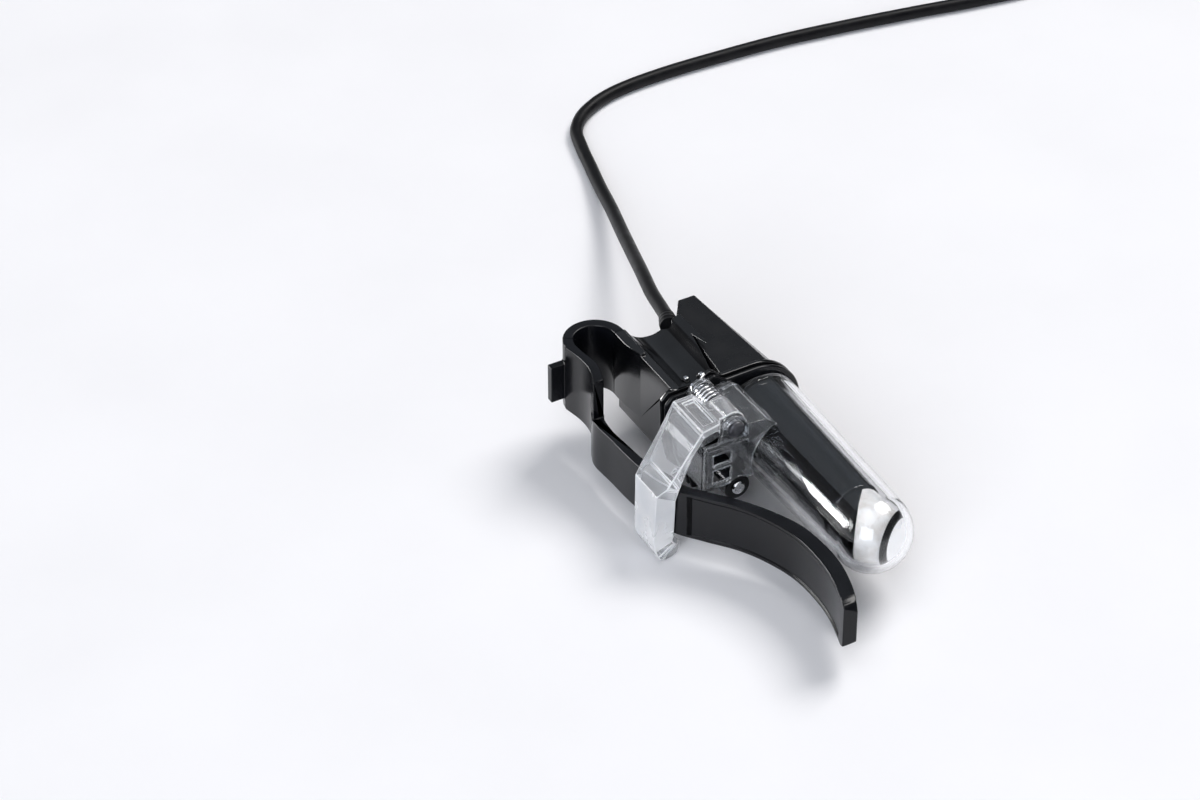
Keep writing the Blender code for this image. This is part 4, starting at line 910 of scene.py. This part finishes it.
def make_plug():
    """Round plug: ribbed boot, fluted grip, metal shell and four contacts."""
    ribs = []
    for k in range(BOOT_RIBS):
        y = RIB_FIRST_Y - k * RIB_PITCH
        wide = 1.15 + (RIB_FIRST_Y - y) * BOOT_SLOPE
        ribs += [(wide, y), (wide + 0.22, y - 0.15), (wide + 0.22, y - 0.4), (wide + 0.1, y - 0.55)]
    boot = turned("boot", [(LEAD_R + 0.1, PLUG_BOOT_Y), *ribs, BOOT_FRONT], 0.0, 0.0, LOOKS["rubber"], 64)
    body = fluted("grip", GRIP_PROFILE, 24, 0.35, LOOKS["black"])
    shell = turned("shell", SHELL_PROFILE, 0.0, 0.0, LOOKS["steel"], 64, hollow=True)
    made = [
        (boot, "plug_boot", "black_rubber", 0.05), (body, "plug_body", "black_plastic", 0.08),
        (shell, "plug_shell", "bright_steel", 0.08),
    ]
    for k in range(4):
        turn = math.pi / 4 + k * math.pi / 2
        x, z = CONTACT_OUT * math.cos(turn), CONTACT_OUT * math.sin(turn)
        contact = turned(f"contact_{k + 1}", CONTACT_PROFILE, x, z, LOOKS["gold"], 20)
        made.append((contact, f"plug_contact_{k + 1}", "gold_contact", 0.02))
    leaves, heading = plug_frame()
    middle = leaves + heading * (LEAD_END_LENGTH + 0.3 + PLUG_BOOT_Y) * MM
    turned_round = Matrix.Translation(middle) @ Matrix.Rotation(math.radians(LEAD_END_DEG - 180.0), 4, "Z")
    for piece, node, slot, edge in made:
        piece.data.transform(turned_round @ Matrix.Translation(-at(0.0, 0.0, 0.0)))
        piece.name = node.replace("plug", "lead_plug")
        place(soften(piece, edge, 2, 40.0), "housing", slot, node)
    return [piece for piece, *_ in made]


# ---------------------------------------------------------------- studio


def make_table():
    """Wide pale table top that the probe lies on."""
    bm = bmesh.new()
    half = TABLE_HALF
    corners = ((-half, -half), (half, -half), (half, half), (-half, half))
    bm.faces.new([bm.verts.new((x, y, 0.0)) for x, y in corners])
    pale = surface("pale_table", ((0.90, 0.90, 0.92), (0.92, 0.92, 0.94)), (0.6, 0.7), 2.0, 0.02)
    table = finish("table", bm, pale)


def make_lights():
    """Soft lights aimed at the probe. Two of them show in reflections and don't light matt surfaces."""
    for name, (spot, (wide, tall), power, colour) in LIGHTS.items():
        data = bpy.data.lights.new(name, "AREA")
        data.shape = "RECTANGLE"
        data.size, data.size_y = wide, tall
        data.energy = power
        data.color = colour
        light = bpy.data.objects.new(name, data)
        light.location = spot
        light.visible_diffuse = name not in REFLECTION_ONLY
        light.rotation_mode = "QUATERNION"
        light.rotation_quaternion = (-Vector(spot)).to_track_quat("-Z", "Y")
        bpy.context.collection.objects.link(light)


def make_room():
    """Surroundings that are pale at the horizon, dark above it and dimmed on one side."""
    world = bpy.data.worlds.new("room")
    bpy.context.scene.world = world
    world.use_nodes = True
    tree = world.node_tree
    background = tree.nodes["Background"]
    where = tree.nodes.new("ShaderNodeTexCoord")
    parts = tree.nodes.new("ShaderNodeSeparateXYZ")
    ramp = tree.nodes.new("ShaderNodeValToRGB")
    for _ in range(len(ROOM_TONES) - 2):
        ramp.color_ramp.elements.new(0.5)
    for element, (position, tone) in zip(ramp.color_ramp.elements, ROOM_TONES):
        element.position = position
        element.color = (*(tone * tint for tint in ROOM_TINT), 1.0)
    tree.links.new(where.outputs["Generated"], parts.inputs["Vector"])
    tree.links.new(parts.outputs["Z"], ramp.inputs["Fac"])
    tree.links.new(ramp.outputs["Color"], background.inputs["Color"])
    away = tree.nodes.new("ShaderNodeVectorMath")
    away.operation = "DOT_PRODUCT"
    away.inputs[1].default_value = DIM_SIDE
    shade = tree.nodes.new("ShaderNodeMapRange")
    for socket, value in DIM_RANGE.items():
        shade.inputs[socket].default_value = value
    tree.links.new(where.outputs["Generated"], away.inputs[0])
    tree.links.new(away.outputs["Value"], shade.inputs["Value"])
    tree.links.new(shade.outputs["Result"], background.inputs["Strength"])
    bpy.context.scene.view_settings.view_transform = "Standard"


def make_camera():
    """A long lens looking down at the probe from its nose end, on the arm's side."""
    azimuth, elevation = math.radians(CAMERA_AZIMUTH), math.radians(CAMERA_ELEVATION)
    level = math.cos(elevation)
    back = Vector((math.sin(azimuth) * level, -math.cos(azimuth) * level, math.sin(elevation)))
    data = bpy.data.cameras.new("camera")
    data.lens = CAMERA_LENS
    data.sensor_width = CAMERA_SENSOR
    data.clip_start = CAMERA_CLIP
    camera = bpy.data.objects.new("camera", data)
    camera.location = at(0.0, 0.0, 0.0) + back * CAMERA_DISTANCE
    camera.rotation_mode = "QUATERNION"
    camera.rotation_quaternion = (-back).to_track_quat("-Z", "Y")
    bpy.context.collection.objects.link(camera)
    bpy.context.scene.camera = camera


def main():
    for make in (
        make_capsule, make_core, make_head, make_collar, make_tail, make_root, make_loop, make_arm, make_keeper,
        make_bracket, make_hinge,
    ):
        make()
    make_lead([make_relief(), make_tie(), *make_plug()])
    for node, look in CARRIED.items():
        frame["nodes"][node].data.materials.clear()
        frame["nodes"][node].data.materials.append(LOOKS[look])
    make_table()
    make_lights()
    make_room()
    make_camera()


main()
